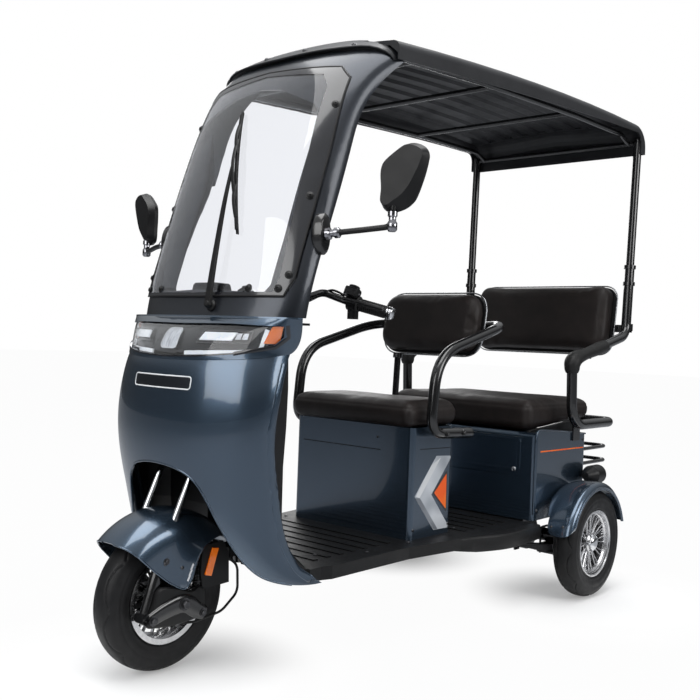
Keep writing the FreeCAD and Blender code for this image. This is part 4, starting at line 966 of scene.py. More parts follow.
def make_rim(name, node, body, x, y, faces_out, bore):
    """Cast rim: stepped barrel with a rolled lip, paired thin spokes, hub ring, wheel nuts and valve."""
    centre = at(x, y, AXLE_Z)
    out = LEFT * faces_out
    pairs, foot, reach = 12, 33, 67
    barrel = [(104, -35), (118, -35), (118, -29), (112, -26), (108, 0), (112, 26), (118, 29), (119, 33),
              (117, 35.5), (113, 35.5), (111, 32), (106, 30), (104.5, 22), (100, 18), (98, 0), (100, -24)]
    hub = [(bore, -20), (34, -20), (36, -8), (36, 12), (34, 18), (28, 22), (27, 26), (18, 29), (bore, 29)]
    pile = Pile(ring(barrel, centre, out, 96),
                ring([(97, 8), (100.5, 8), (100.5, 16), (97, 16)], centre, out, 96),
                ring(hub, centre, out, 40),
                ring([(44, 5), (48, 5), (48, 12), (44, 12)], centre, out, 64))
    bar = [(-2.1, -5), (2.1, -5), (2.1, 3), (0.9, 5), (-0.9, 5), (-2.1, 3)]
    for middle in turns(pairs):
        for lean in SIDES:
            line = []
            for t in [step / 6 for step in range(7)]:
                spin = around(middle + lean * math.radians(3.4 + 2.6 * t))
                line.append(centre + (spin * (foot + reach * t) + out * (9.0 + 7.0 * t * t)) * MM)
            pile.add(sweep(line, bar, up=out))
    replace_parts(pile.piece(name, ALLOY, 35, body), node)
    nuts = Pile()
    for turn in turns(5, 0.5):
        nuts.add(*hex_bolt(centre + (around(turn) * 27.0 + out * 23.5) * MM, out, 4.6))
    valve = (around(0.3) * 97 + out * 12) * MM
    nuts.add(lathe([(0, 0), (3, 0), (3, 8), (2.2, 9), (2.2, 15), (2.8, 16), (2.8, 22), (0, 23)],
                   centre + valve, (out * 0.6 - valve.normalized()).normalized(), 12))
    nuts.piece(name + "_nuts", CHROME, 35, body)
    if x:
        cap = lathe([(0, 20), (26, 20), (26.5, 26), (25, 30), (20, 34), (12, 36.5), (0, 37.5)], centre, out,
                    40)
        Pile(cap).piece(name + "_cap", CHROME, 40, body, "alloy")


def make_wheels():
    """The three tyres, then their rims."""
    wheels = [("front", "", "front_wheel", 0.0, FRONT_AXLE, -1, 9.0),
              ("rear", "_left", "rear_wheel_left", TRACK, 0.0, 1, 12.5),
              ("rear", "_right", "rear_wheel_right", -TRACK, 0.0, -1, 12.5)]
    for place, end, body, x, y, _, _ in wheels:
        make_tyre(place + "_tyre_tread" + end, place + "_tyre" + end, body, x, y)
    for place, end, body, x, y, faces_out, bore in wheels:
        make_rim(place + "_rim_cast" + end, place + "_rim" + end, body, x, y, faces_out, bore)


# Front fork
def on_leg(z, side):
    """Place on a fork leg's line at a height."""
    rake, offset = math.radians(24.0), 34.0
    return by_fork(side * 64.0, (z - 318.0) * math.tan(rake) - offset / math.cos(rake) - 11.0, z)


def make_fork_details():
    """Plated upper legs, damper coils, link covers and shrouds, bolts and the brake drum's ribs."""
    chrome, coils, covers, shrouds, bolts = piles(5)
    link_line = [(-102, 166), (-50, 183), (4, 190), (42, 168), (72, 152)]
    shroud = [(-105, 150), (-101, 176), (-90, 202), (-79, 234), (-58, 241), (-20, 232), (34, 216),
              (60, 224), (76, 205), (74, 160), (56, 143), (-20, 137), (-88, 143)]
    curve, middle = curve_through([Vector(p) for p in shroud], 5, True), Vector((-15, 188))
    for side in SIDES:
        low = on_leg(352, side)
        axis = on_leg(542, side) - low
        length = axis.length / MM
        chrome.add(lathe([(8.3, 0), (9.2, 0), (9.2, length), (8.3, length), (8.3, 0)], low, axis, 24))
        covers.add(ring([(16.3, 0), (19, 0), (19.5, 5), (18, 10), (14, 14), (9.4, 15), (9.4, 10),
                         (16.3, 3)], on_leg(338, side), axis, 28))
        foot, head = by_fork(side * 64, 62, 156), by_fork(side * 64, 96, 356)
        along = (head - foot).normalized()
        ends = [foot + along * rise * MM for rise in (30, 178)]
        coils.add(sweep(helix(*ends, 18.5, 9.0), circle(2.6, 8)))
        for rise in (25, 178):
            covers.add(ring([(9.5, 0), (22, 0), (22, 4), (9.5, 4)], foot + along * rise * MM, along, 28))
        line = curve_through([by_fork(side * 96.5, y, z) for y, z in link_line])
        sizes = [0.72 + 0.28 * math.sin(math.pi * i / (len(line) - 1)) for i in range(len(line))]
        covers.add(sweep(line, oval(24, 7, 24), up=LEFT, scale=sizes))
        rows = []
        for x, share in [(82, 0.97), (84, 1.0), (90, 1.0), (93, 0.95), (94, 0.88)]:
            rows.append([by_fork(side * x, *(middle + (p - middle) * share)) for p in curve])
        shrouds.add(loft(rows))
        for y, z, radius in [(-96, 166, 8.5), (0, 190, 11.0), (62, 156, 7.0)]:
            bolts.add(*hex_bolt(by_fork(side * 102.0, y, z), LEFT * side, radius))
        bolts.add(*hex_bolt(on_leg(305, side) + LEFT * side * 27 * MM, LEFT * side, 6.0))
    chrome.piece("fork_plated_legs", CHROME, 40, "steering")
    coils.piece("fork_damper_coils", BOLT, 60, "steering")
    shrouds.piece("fork_link_shrouds", PLASTIC, 40, "steering")
    covers.piece("fork_link_covers", TUBE, 40, "steering")
    bolts.piece("fork_bolts", BOLT, 35, "steering")
    centre = at(0, FRONT_AXLE, AXLE_Z)
    drum = Pile(ring([(56, 24.5), (63, 24.5), (64, 27), (62, 30), (56, 30)], centre, LEFT, 56))
    for turn in turns(8):
        rib = [centre + (around(turn) * r + LEFT * w) * MM for r, w in [(24, 43.5), (40, 41.5), (56, 31)]]
        drum.add(sweep(rib, [(-2, -3), (2, -3), (1.2, 1.6), (-1.2, 1.6)], up=LEFT))
    drum.piece("front_drum_ribs", PLASTIC, 35, "steering")


# Front guard
def spaced(points, share):
    """Value at a share of the way through a list of tuples, on a smooth curve."""
    last = len(points) - 1
    i = min(int(share * last), last - 1)
    near = (points[max(0, min(last, i + k))] for k in (-1, 0, 1, 2))
    return tuple(smooth_value(*values, share * last - i) for values in zip(*near))


def make_front_guard():
    """Front guard with one smooth edge from its lip to the tongues beside the wheel."""
    section = [(0, 234), (24, 233), (44, 229), (62, 220), (75, 206), (84, 189), (90, 160), (92, 120),
               (93, 80), (93.5, 34)]
    # where the edge runs: degrees round the axle from the rear, and radius
    edge = [(135.7, 234), (135.4, 228), (134.6, 206), (134.2, 168), (132.5, 122), (126, 76), (110, 48),
            (90, 38), (70, 42), (64, 66), (66, 108), (62, 158), (50, 202), (38, 226), (31, 233)]
    crown = [(135.7,), (110,), (85,), (58,), (31,)]
    rows, columns, wall, side_wall_x = 96, 26, 3.0, 60
    skin = []
    for i in range(rows + 1):
        turn_edge, radius_edge = spaced(edge, i / rows)
        turn_crown = spaced(crown, i / rows)[0]
        low, top = 0.0, 1.0
        for _ in range(24):
            middle = (low + top) / 2
            if spaced(section, middle)[1] > radius_edge:
                low = middle
            else:
                top = middle
        row = []
        for t in [j / columns for j in range(columns + 1)]:
            x, radius = spaced(section, low * t)
            row.append((x, radius, math.radians(turn_crown + (turn_edge - turn_crown) * t ** 1.35)))
        skin.append(row)

    def place(spot, side, inset=0.0):
        x, radius, turn = spot
        out = radius - inset
        return by_fork(side * max(x - inset * (x > side_wall_x), 0.0), out * math.cos(turn),
                       AXLE_Z + out * math.sin(turn))

    pile, bead = piles(2)
    for side in SIDES:
        outer = [place(spot, side) for row in skin for spot in row]
        inner = [place(spot, side, wall) for row in skin for spot in row]
        pile.add(shell(outer, inner, columns, (columns,), False))
        side_line = [place(row[-1], side, 1.2) for row in skin[2:-1]]
        bead.add(sweep(divided(side_line, 4.0 * MM), circle(2.6, 8)))
    end_row = [place(s, -1, 1.5) for s in reversed(skin[-1])] + [place(s, 1, 1.5) for s in skin[-1][1:]]
    bead.add(sweep(divided(end_row, 5.0 * MM), circle(2.2, 8)))
    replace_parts(pile.piece("front_guard_skin", PAINT, 50, "steering"), "front_fender")
    bead.piece("front_guard_bead", PAINT, 60, "steering")
    marks, bolts = piles(2)
    guard = surface("front_guard_skin")
    for side in SIDES:
        for y, z in [(31, 276), (26, 262), (21, 249)]:
            spot = [(y - 9, z - 3), (y - 1, z + 12), (y + 4, z + 9), (y - 4, z - 6)]
            marks.add(decal_on(guard, [by_fork(side * 120, a, b) for a, b in spot], LEFT * -side, 0.3, 0.5,
                               8.0, 0.1))
        for y, z in [(-4, 282), (-58, 300)]:
            bolts.add(screw_on(guard, by_fork(side * 120, y, z), LEFT * -side, 5.0, 0.1))
    marks.piece("front_guard_marks", WHITE_FILM, 60, "steering")
    bolts.piece("front_guard_screws", BOLT, 40, "steering")


# Lamp unit
def make_lamps():
    """Lamps behind the clear cover: beam bars, light guides, projector blocks, indicators, middle lamp."""
    cover = surface("lamp_lens")
    bars, blocks, frames, ambers, gasket = piles(5)
    beam = [(104, 868), (112, 889), (206, 889), (197, 868)]
    indicator = [(268, 862), (282, 906), (302, 906), (292, 862)]
    frame_lines = [[(98, 861), (106, 894), (243, 893), (239, 863), (98, 861)],
                   [(60, 824), (270, 833), (281, 898)]]
    seams = [([(0, 820), (120, 825), (218, 835)], 4.0),
             ([(214, 834), (262, 846), (290, 854), (308, 879), (312, 909)], 10.0)]
    seam_skin = surface("lamp_lens", "lamp_bezel")
    for side in SIDES:
        bars.add(decal_on(cover, front_points(beam, side), BACK, -5.2, 4.0, 12.0))
        guide = bent(front_points([(66, 832), (263, 841), (273, 898)], side), [16], 6)
        bars.add(strip_on(cover, divided(guide, 8.0 * MM), BACK, slab(11.0, -9.8, -5.4)))
        for x in (213, 229):
            block = [(x - 7, 871), (x - 5, 887), (x + 7, 887), (x + 6, 871)]
            blocks.add(decal_on(cover, front_points(block, side), BACK, -5.6, 4.0, 8.0))
        for line in frame_lines:
            frames.add(front_strip(cover, line, side, 8.0, slab(4.0, -11.0, -6.2)))
        ambers.add(decal_on(cover, front_points(indicator, side), BACK, -5.2, 6.0, 8.0))
        for seam, width in seams:
            line = front_points(divided([Vector(p) for p in seam], 8.0), side)
            gasket.add(strip_on(seam_skin, line, BACK, slab(width, -0.5, 0.8)))
    bars.piece("lamp_beams_and_guides", LAMP_WHITE, 40)
    blocks.piece("lamp_projector_blocks", REFLECTOR, 40)
    frames.piece("lamp_inner_frames", BORDER, 40, slot="lamp_dark")
    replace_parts(ambers.piece("indicator_lenses", AMBER, 40), "turn_signals")
    outline = rounded_outline([(30, 843), (27, 897), (-27, 897), (-30, 843)], 13.0)
    glass = Pile(decal_on(cover, front_points(outline), BACK, -5.6, 4.0, 8.0))
    glass.piece("middle_lamp_glass", REFLECTOR, 30, slot="clear")
    rim = Pile(front_strip(cover, [(x * 1.08, z) for x, z in outline], 1, 5.0, slab(4.0, -9.0, -5.0), True))
    for x in (-10, 0, 10):
        rim.add(front_strip(cover, [(x, 846), (x * 0.9, 894)], 1, 6.0, slab(1.6, -6.0, -4.8)))
    rim.piece("middle_lamp_rim", CHROME, 40)
    gasket.piece("lamp_cover_gasket", BORDER, 50)


# Fairing
def make_fairing_trim():
    """Rolled strips on the fairing's rear edges and wheel arch, and the blank badge in its outline."""
    skin = surface("front_fairing")
    roll = [(11 * math.cos(math.pi * i / 8), 3.4 * math.sin(math.pi * i / 8) - 0.4) for i in range(9)]
    strips = Pile()
    table = table_of(nodes["front_fairing"].data) / MM
    for side in SIDES:
        line = []
        for level in range(252, 816, 14):
            near = table[(np.abs(table[:, 2] - level) < 16) & (table[:, 0] * side > 200)]
            rear = near[:, 1].max() * MM
            line.append(Vector((side * 0.5, rear - 13 * MM, level * MM)))
        hits, normals = all_onto(skin, line, LEFT * -side)
        places = curve_through(hits, 2)
        ups = [normals[min(i // 2, len(line) - 1)] for i in range(len(places))]
        strips.add(sweep(places, roll, False, ups))
    strips.piece("fairing_edge_rolls", PAINT, 60)
    half = [(0, 542), (65, 536), (110, 521), (138, 496), (156, 460), (174, 410), (198, 356), (223, 305),
            (248, 266), (280, 241)]
    arch = [(-x, z) for x, z in reversed(half[1:])] + half
    middle = Vector((0, 300))
    grown = [p + (p - middle).normalized() * 3.0 for p in curve_through([Vector(p) for p in arch], 6)]
    bead = Pile(strip_on(skin, front_points(grown), BACK, oval(3, 2.4, 8)))
    bead.piece("fairing_arch_bead", PAINT, 60)
    badge_z, badge_width, badge_height = 755, 114, 16
    top, bottom = badge_z + badge_height, badge_z - badge_height
    outline = rounded_outline([(badge_width, bottom), (badge_width, top), (-badge_width, top),
                               (-badge_width, bottom)], 8.5, 5)
    rim = Pile(front_strip(skin, outline, 1, 6.0, slab(3.4, -0.3, 0.6), True))
    rim.piece("fairing_blank_badge_outline", WHITE_FILM, 60)
    inner = [(x * 0.98, badge_z + (z - badge_z) * 0.88) for x, z in outline]
    inside = Pile(decal_on(skin, front_points(inner), BACK, 0.15, 0.4, 12.0))
    inside.piece("fairing_blank_badge", COWL, 60, slot="paint")


# Windshield
def band_on(skin, outer, inner, side, lift, columns):
    """Thin printed band on the front of a surface, between two lines of X and Z with paired corners."""
    rows, depth, gap = [], 0.2, 9.0
    for i in range(len(outer) - 1):
        corners = [Vector(p) for p in (outer[i], outer[i + 1], inner[i], inner[i + 1])]
        parts = max(1, round((corners[1] - corners[0]).length / gap))
        for share in [step / parts for step in range(parts + (i == len(outer) - 2))]:
            first, last = corners[0].lerp(corners[1], share), corners[2].lerp(corners[3], share)
            rows.extend(first.lerp(last, k / columns) for k in range(columns + 1))
    hits, normals = all_onto(skin, front_points(rows, side), BACK)
    return shell([hit + normal * lift * MM for hit, normal in zip(hits, normals)],
                 [hit - normal * depth * MM for hit, normal in zip(hits, normals)], columns, (0, columns))


def make_windshield_trim():
    """Printed border, edge gasket and fixing buttons of the pane, and the pillars' inner trims."""
    outer = [(0, 982), (279, 984), (294, 1032), (291, 1380), (284, 1586), (251, 1622), (0, 1637)]
    inner = [(0, 992), (252, 994), (262, 1034), (250, 1380), (240, 1560), (214, 1600), (0, 1622)]
    # height, inner edge and front of the pillars' trims
    levels = [(1392, 221, -1204), (1350, 224, -1216), (1300, 228, -1230), (1250, 233, -1250),
              (1200, 237.5, -1270), (1150, 241, -1290), (1100, 243.5, -1308), (1050, 245, -1328)]
    trim_outer_x = 252
    pane, skin = surface("windshield"), surface("windshield", "windshield_frame")
    border, gasket, buttons, trims = piles(4)
    for side in SIDES:
        border.add(band_on(pane, outer, inner, side, 0.35, 6))
        line = front_points(divided([Vector(p) for p in outer], 8.0), side)
        gasket.add(strip_on(skin, line, BACK, slab(5.0, -0.2, 1.3)))
        trims.add(loft([[at(side * a, y + b, z) for a, b in [
            (x, -1), (x, 1), (x + 1, 2), (trim_outer_x, 2), (trim_outer_x, -2), (x + 1, -2)]]
            for z, x, y in levels]))
    for spot in [(281, 1039), (280, 1249), (276, 1506), (182, 1003), (264, 1003)]:
        for side in SIDES:
            hit, normal = onto(pane, *front_points([spot], side), BACK)
            buttons.add(lathe([(0, 0), (10, 0), (11, 1.2), (9, 2.4), (0, 2.4)], hit, normal, 24),
                        dome_screw(hit + normal * 2.0 * MM, normal, 7.0))
    border.piece("windshield_printed_border", BORDER, 60)
    gasket.piece("windshield_edge_gasket", DARK_GASKET_AND_SHADE, 60)
    buttons.piece("windshield_buttons", PLASTIC, 40)
    trims.piece("pillar_inner_trims", COWL, 40)


def make_wiper():
    """Wiper with a capped pivot, tapered arm, bowed carrier and rubber blade."""
    pane = surface("windshield", "windshield_frame")
    steps = 32
    blade = [(112 - 128 * t, 1146 + 360 * t) for t in [i / steps for i in range(steps + 1)]]
    places, ups = all_onto(pane, front_points(blade), BACK)
    rubber = Pile(sweep(places, [(-1, 1.2), (1, 1.2), (3.4, 6.5), (3.4, 9), (-3.4, 9), (-3.4, 6.5)], False,
                        ups))
    rubber.piece("wiper_rubber", RUBBER, 40, slot="black_plastic")
    pile = Pile(sweep(places[1:-1], [(-5, 9), (5, 9), (4, 12.5), (-4, 12.5)], False, ups[1:-1]))
    for first, last, rise in [(4, 12, 7), (20, 28, 7), (8, 24, 13)]:
        run, run_ups = places[first:last + 1], ups[first:last + 1]
        line = [p + n * (12 + rise * math.sin(math.pi * i / (len(run) - 1))) * MM
                for i, (p, n) in enumerate(zip(run, run_ups))]
        pile.add(sweep(line, [(-5.5, -1.5), (5.5, -1.5), (4, 1.8), (-4, 1.8)], False, run_ups))
    pivot, out = onto(pane, *front_points([(66, 955)]), BACK)
    pile.add(lathe([(0, 0), (15, 0), (15, 5), (11, 9), (10, 20), (7, 24), (0, 25)], pivot, out, 28))
    tip = places[steps // 2] + ups[steps // 2] * 26 * MM
    path = curve_through([pivot + out * 17 * MM, pivot.lerp(tip, 0.3) + out * 16 * MM,
                          pivot.lerp(tip, 0.7) + out * 10 * MM, tip], 10)
    taper = [1.35 - 0.75 * i / (len(path) - 1) for i in range(len(path))]
    pile.add(sweep(path, [(-8, -3), (8, -3), (6.5, 3.5), (-6.5, 3.5)], False, out, taper))
    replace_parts(pile.piece("wiper_arm_and_carrier", PLASTIC, 35), "wiper")


# Seat boxes
def make_box_trim():
    """Dark strips of painted shade along the moulded steps, door frame, latch, edge lips and decals of the
    two seat boxes, with a painted highlight and a painted shade on the chevron.
    """
    front, rear = surface("front_seat_box"), surface("rear_seat_box", "rear_box_flap")
    seams, silver, bright, shade, orange, black, lips, bolts = piles(8)
    # the decals of a box's side, from Y and Z: pile, outline, height of the face and thickness
    triangle = [Vector(p) for p in [(-602, 473), (-679, 406), (-599, 337)]]
    middle = Vector((-624, 405))
    inner = [middle + (p - middle) * 0.84 for p in triangle]
    # the decals of a box's side, from Y and Z: pile, outline, height of the face and thickness; the white and
    # grey facets on the chevron are a painted highlight and a painted shade
    decals = [
        (silver, [(-664, 523), (-772, 404), (-666, 288), (-580, 286), (-684, 402), (-578, 518)], 0.3, 0.5),
        # painted highlight on the chevron's upper arm
        (bright, [(-690, 494), (-766, 404), (-746, 398), (-640, 516)], 0.45, 0.3),
        # painted shade on the chevron's lower facet
        (shade, [(-768, 400), (-744, 397), (-644, 288.5), (-665, 289)], 0.45, 0.3),
        (black, rounded_outline(triangle, 7.0, 4), 0.5, 0.7),
        (orange, rounded_outline(inner, 6.0, 4), 0.8, 0.5)]
    edge = [(-221, 298), (-221, 560), (-214, 584), (-196, 591), (-30, 579), (146, 561)]
    # dark strips of painted shade along the moulded steps on the front, with raised lips beside them
    seams.add(front_strip(front, [(-214, 538), (122, 538)], 1, 12.0, slab(2.6, -0.2, 0.25)))
    lips.add(front_strip(front, [(-214, 535.6), (122, 535.6)], 1, 12.0, slab(2.4, -0.2, 0.9)))
    for side in SIDES:
        inward = LEFT * -side

        def side_strip(skin, points, gap, section):
            return strip_on(skin, divided(side_points(points, side), gap * MM), inward, section)

        # painted shade along the moulded step on the box's side
        seams.add(side_strip(front, [(-752, 549), (-590, 545)], 10.0, slab(2.4, -0.2, 0.25)))
        for pile, outline, lift, depth in decals:
            pile.add(decal_on(front, side_points(outline, side), inward, lift, depth, 12.0))
        orange.add(side_strip(rear, [(-186, 514), (132, 510)], 12.0, slab(4.6, -0.2, 0.35)))
        places = bent([at(side * 350.0, y, z) for y, z in edge], [14, 20, 14, 10], 5)
        lips.add(sweep(divided(places, 8.0 * MM), circle(3.2, 8)))
        for skin, spot, radius in [(rear, (-200, 310), 5.5), (rear, (128, 310), 5.5), (rear, (128, 540), 5.5),
                                   (front, (-775, 300), 5.0), (front, (-590, 300), 5.0)]:
            bolts.add(screw_on(skin, *side_points([spot], side), inward, radius))
    bolts.add(screw_on(front, *front_points([(108, 577)]), BACK, 4.0))
    door_middle = 500
    door = rounded_outline([(288, 448), (288, 553), (-288, 553), (-288, 448)], 8.0, 4)
    inner_door = [(x * 0.955, door_middle + (z - door_middle) * 0.76) for x, z in door]
    panel, frame_pile = surface("rear_box_flap"), Pile()
    for outline, section in [(door, slab(7.0, -0.3, 2.2)), (inner_door, slab(2.5, -0.3, 1.2))]:
        line = divided([at(x, -260, z) for x, z in outline], 12.0 * MM, True)
        frame_pile.add(strip_on(panel, line, BACK, section, True, 0.1))
    frame_pile.piece("rear_flap_frame", PAINT, 50, "box_flap")
    lock = at(268, -222, 448)
    latch = Pile(lathe([(0, 0), (8, 0), (8, 2), (5.5, 3.5), (5.5, 2.6), (0, 2.6)], lock, -BACK, 24),
                 lathe([(0, 2.6), (1.4, 2.6), (1.4, 4.4), (0, 4.4)], lock, -BACK, 4))
    latch.piece("rear_flap_lock", CHROME, 40, "box_flap")
    # painted shade lines of the moulded steps
    seams.piece("front_box_step_painted_shade", DARK_GASKET_AND_SHADE, 50)
    silver.piece("front_box_chevrons", SILVER_FILM, 60)
    # painted highlight and painted shade on the chevron's facets
    bright.piece("front_box_chevron_painted_highlight", WHITE_FILM, 60)
    shade.piece("front_box_chevron_painted_shade", PAINTED_SHADE_FILM, 60)
    black.piece("front_box_triangle_outlines", BLACK_FILM, 60)
    orange.piece("orange_triangles_and_stripes", ORANGE_FILM, 60)
    lips.piece("box_edge_lips", PAINT, 50)
    bolts.piece("box_screws", BOLT, 40)


# Roof front
def make_roof_front():
    """Front lip of the roof sheet over the top of the windshield frame, with its screws and a dark seal under
    it that also paints the shade in the gap beneath the lip.
    """
    skin = surface("windshield_frame")
    # the lip's front edge, as degrees from straight up and Y
    lip = [(0.0, -1172), (22.0, -1169), (37.6, -1160), (49.0, -1142), (56.0, -1112), (61.0, -1084),
           (65.4, -1067)]
    curve = curve_through([Vector(p) for p in lip])
    rear, steps, last, sheet, columns = -1066.0, 64, 65.4, 3.0, 7

    def cell(turn, share):
        edge = float(np.interp(abs(turn), [p.x for p in curve], [p.y for p in curve]))
        out = Vector((math.sin(math.radians(turn)), 0, math.cos(math.radians(turn))))
        hit, normal = onto(skin, at(0, edge + (rear - edge) * share, 1500) + out * 0.25, -out, 0.35)
        lift = (1.5 + 9.0 * (1 - share) ** 1.6) * min(1.0, (rear + 4 - edge) / 45.0)
        return hit, normal, max(lift, 0.8)

    across = [last * (2 * i / steps - 1) for i in range(steps + 1)]
    outer, inner = [], []
    for turn in across:
        for j in range(columns + 1):
            hit, normal, lift = cell(turn, min(j / 6, 1.0))
            back = BACK * (9 * MM if j == columns else 0.0)
            outer.append(hit + normal * (lift + sheet) * MM + back)
            inner.append(hit + normal * lift * MM + back)
    front = [(a + b) / 2 for a, b in zip(outer[::columns + 1], inner[::columns + 1])]
    hood = Pile(shell(outer, inner, columns, (0, columns)), sweep(front, circle(2.7, 8)))
    hood.piece("roof_front_lip", ROOF, 50)
    # dark seal under the lip, which also stands as painted shade in the gap beneath it
    seal = [cell(turn, 0.14) for turn in across[2:-2]]
    Pile(sweep([hit for hit, _, _ in seal], [(-4, -1), (4, -1), (4, 7.5), (-4, 7.5)], False,
               [normal for _, normal, _ in seal])).piece("roof_front_seal_and_shade", DARK_GASKET_AND_SHADE, 50)
    screws = Pile()
    for turn in (-51.5, -21.8, 21.8, 51.5):
        hit, normal, lift = cell(turn, 0.2)
        top = hit + normal * (lift + 2.6) * MM
        screws.add(lathe([(0, 0), (10, 0), (10, 1.2), (0, 1.2)], top, normal, 20),
                   dome_screw(top + normal * 1.0 * MM, normal, 7.0))
    screws.piece("roof_front_screws", BOLT, 40)


# Mirrors and handlebar
def make_mirror_details():
    """Glass and its lip, plated knuckles on the stalk and the oval base on the pillar."""
    rim = [(6, 84), (44, 78), (60, 62), (60, 44), (50, 2), (32, -48), (18, -68), (-6, -82), (-44, -84),
           (-58, -72), (-61, -36), (-63, -3), (-59, 36), (-34, 60)]
    outline = curve_through([Vector((x * 0.97, z * 0.97)) for x, z in rim], 5, True)
    turn = math.radians(14.0)
    glass, lips, chrome, bases = piles(4)
    # the right mirror sits lower
    for side, drop in ((1, 0.0), (-1, 45.0)):
        def place(x, y, z):
            across = x * math.cos(turn) - y * math.sin(turn)
            along = x * math.sin(turn) + y * math.cos(turn)
            return by_fork(side * (530 + across), 282 + along, 1288 - drop + z)

        glass.add(loft([[place(p.x * share, depth, p.y * share) for p in outline]
                        for share, depth in [(0.90, 30.5), (0.90, 32.8), (0.87, 33.4)]]))
        lips.add(sweep([place(p.x * 0.945, 32.4, p.y * 0.945) for p in outline], circle(3.0, 8), True))
        chrome.add(lathe([(0, 0), (13, 0), (16, 3), (16, 12), (10, 16), (10, 24), (14, 27), (14, 37),
                          (10, 41), (0, 41)], by_fork(side * 326, 236, 1150),
                         Vector((side * 98, 27, 8 - 0.3 * drop)), 28),
                   lathe([(0, -9), (9, -9), (13, -4), (13, 13), (9.5, 18), (9.5, 27), (12.5, 30), (12.5, 41),
                          (9, 45), (0, 45)], by_fork(side * 500.6, 288.4, 1162 - 0.72 * drop), UP, 28))
        normal, tangent = Vector((side * 0.988, 0.15, 0)), Vector((-side * 0.15, 0.988, 0))
        centre = by_fork(side * 316, 234.6, 1150)
        bases.add(loft([[centre + (normal * offset + tangent * u + UP * v) * MM
                         for u, v in oval(25 * share, 54 * share, 36)]
                        for offset, share in [(-16, 1.0), (5, 1.0), (9, 0.93), (10.5, 0.8)]]))
    glass.piece("mirror_glass", MIRROR_GLASS, 40)
    lips.piece("mirror_lips", PLASTIC, 60)
    chrome.piece("mirror_knuckles", DARK_CHROME, 40)
    bases.piece("mirror_bases", TUBE, 40, slot="black_plastic")


def make_handlebar_details():
    """Ribbed grips with plated ends, brake cylinders and lever bolts."""
    ribs, chrome, blocks, bolts = piles(4)
    rib_count, rib_pitch = 13, 6.2
    tilt = math.radians(14.0)
    for side in SIDES:
        def spot(x, y, z):
            return by_fork(side * x, y, z)

        along = (spot(326, 504, 959) - spot(205, 468, 989)).normalized()
        start, end = spot(238, 478, 980.8), spot(337.2, 507.3, 956.2)
        for k in range(rib_count):
            ribs.add(ring([(16.4, -1.8), (18.4, -0.9), (18.4, 0.9), (16.4, 1.8)],
                          start + along * (9 + rib_pitch * k) * MM, along, 28))
        ribs.add(ring([(16.4, -1), (23, -1), (23.5, 1), (22, 3), (16.4, 4)], start, along, 32))
        for offset in (-13, -6):
            chrome.add(ring([(16.6, 0), (18.2, 0.6), (18.2, 4.4), (16.6, 5)], end + along * offset * MM,
                            along, 32))
        chrome.add(lathe([(0, -1), (16.6, -1), (17.4, 1.5), (14, 4.5), (0, 5.5)], end, along, 32))
        rise = (UP - along * UP.dot(along)).normalized()
        fore = along.cross(rise) * side
        up_tilted = rise * math.cos(tilt) - fore * math.sin(tilt)
        fore_tilted = fore * math.cos(tilt) + rise * math.sin(tilt)
        outline = rounded_outline([(-15, -14), (22, -14), (22, 15), (-15, 15)], 8.0, 4)
        centre = spot(222.7, 468, 1012)
        blocks.add(loft([[centre + (along * offset + fore_tilted * p.x * share + up_tilted * p.y * share) * MM
                          for p in outline] for offset, share in [(-19, 0.86), (-17, 1.0), (19, 1.0),
                                                                  (21, 0.86)]]),
                   lathe([(0, 0), (15, 0), (16, 2), (16, 7), (13, 9), (0, 9.5)],
                         centre + up_tilted * 14 * MM, up_tilted, 24))
        bolts.add(*hex_bolt(spot(219, 443, 1003), UP, 6.0), dome_screw(centre + along * 21 * MM, along, 5.0))
    ribs.piece("grip_ribs", GRIP, 50, "steering")
    chrome.piece("grip_ends", CHROME, 40, "steering")
    blocks.piece("brake_cylinders", PLASTIC, 40, "steering")
    bolts.piece("handlebar_bolts", BOLT, 35, "steering")


def make_brake_hoses():
    """Short hoses from the brake cylinders to the column."""
    radius = 0.0034
    for side, name in ((1, "left"), (-1, "right")):
        route = [by_fork(side * x, y, z) for x, y, z in [
            (208, 452, 1004), (188, 434, 1020), (160, 430, 1017), (124, 424, 997), (84, 411, 979),
            (44, 398, 969)]]
        curve = bpy.data.curves.new("brake_hose_" + name, "CURVE")
        curve.dimensions = "3D"
        spline = curve.splines.new("NURBS")
        spline.points.add(len(route) - 1)
        for point, place in zip(spline.points, route):
            point.co = (*place, 1.0)
        spline.order_u = 3
        spline.use_endpoint_u = True
        hose = link("brake_hose_" + name, curve)
        line = [v.co.copy() for v in bpy.data.meshes.new_from_object(hose).vertices]
        curve.bevel_depth = radius
        curve.bevel_resolution = 3
        curve.use_fill_caps = True
        curve.materials.append(RUBBER)
        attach(hose, "steering")


# Floor and rear
def fender_edge(side):
    """Line along the outer edge of a rear fender, from the points of its solid."""
    table = table_of(nodes["rear_fenders"].data)
    table[:, 1] -= AXLE_Y
    table /= MM
    edge = table[table[:, 0] * side > 491.0]
    angles = np.degrees(np.arctan2(edge[:, 2] - AXLE_Z, edge[:, 1]))
    radii = np.hypot(edge[:, 2] - AXLE_Z, edge[:, 1])
    far = radii > radii.max() - 3.0
    arc = [at(side * 491.5, y, z) for _, y, z in edge[far][np.argsort(angles[far])]]
    return [p for i, p in enumerate(arc) if i == 0 or (p - arc[i - 1]).length > 2 * MM]


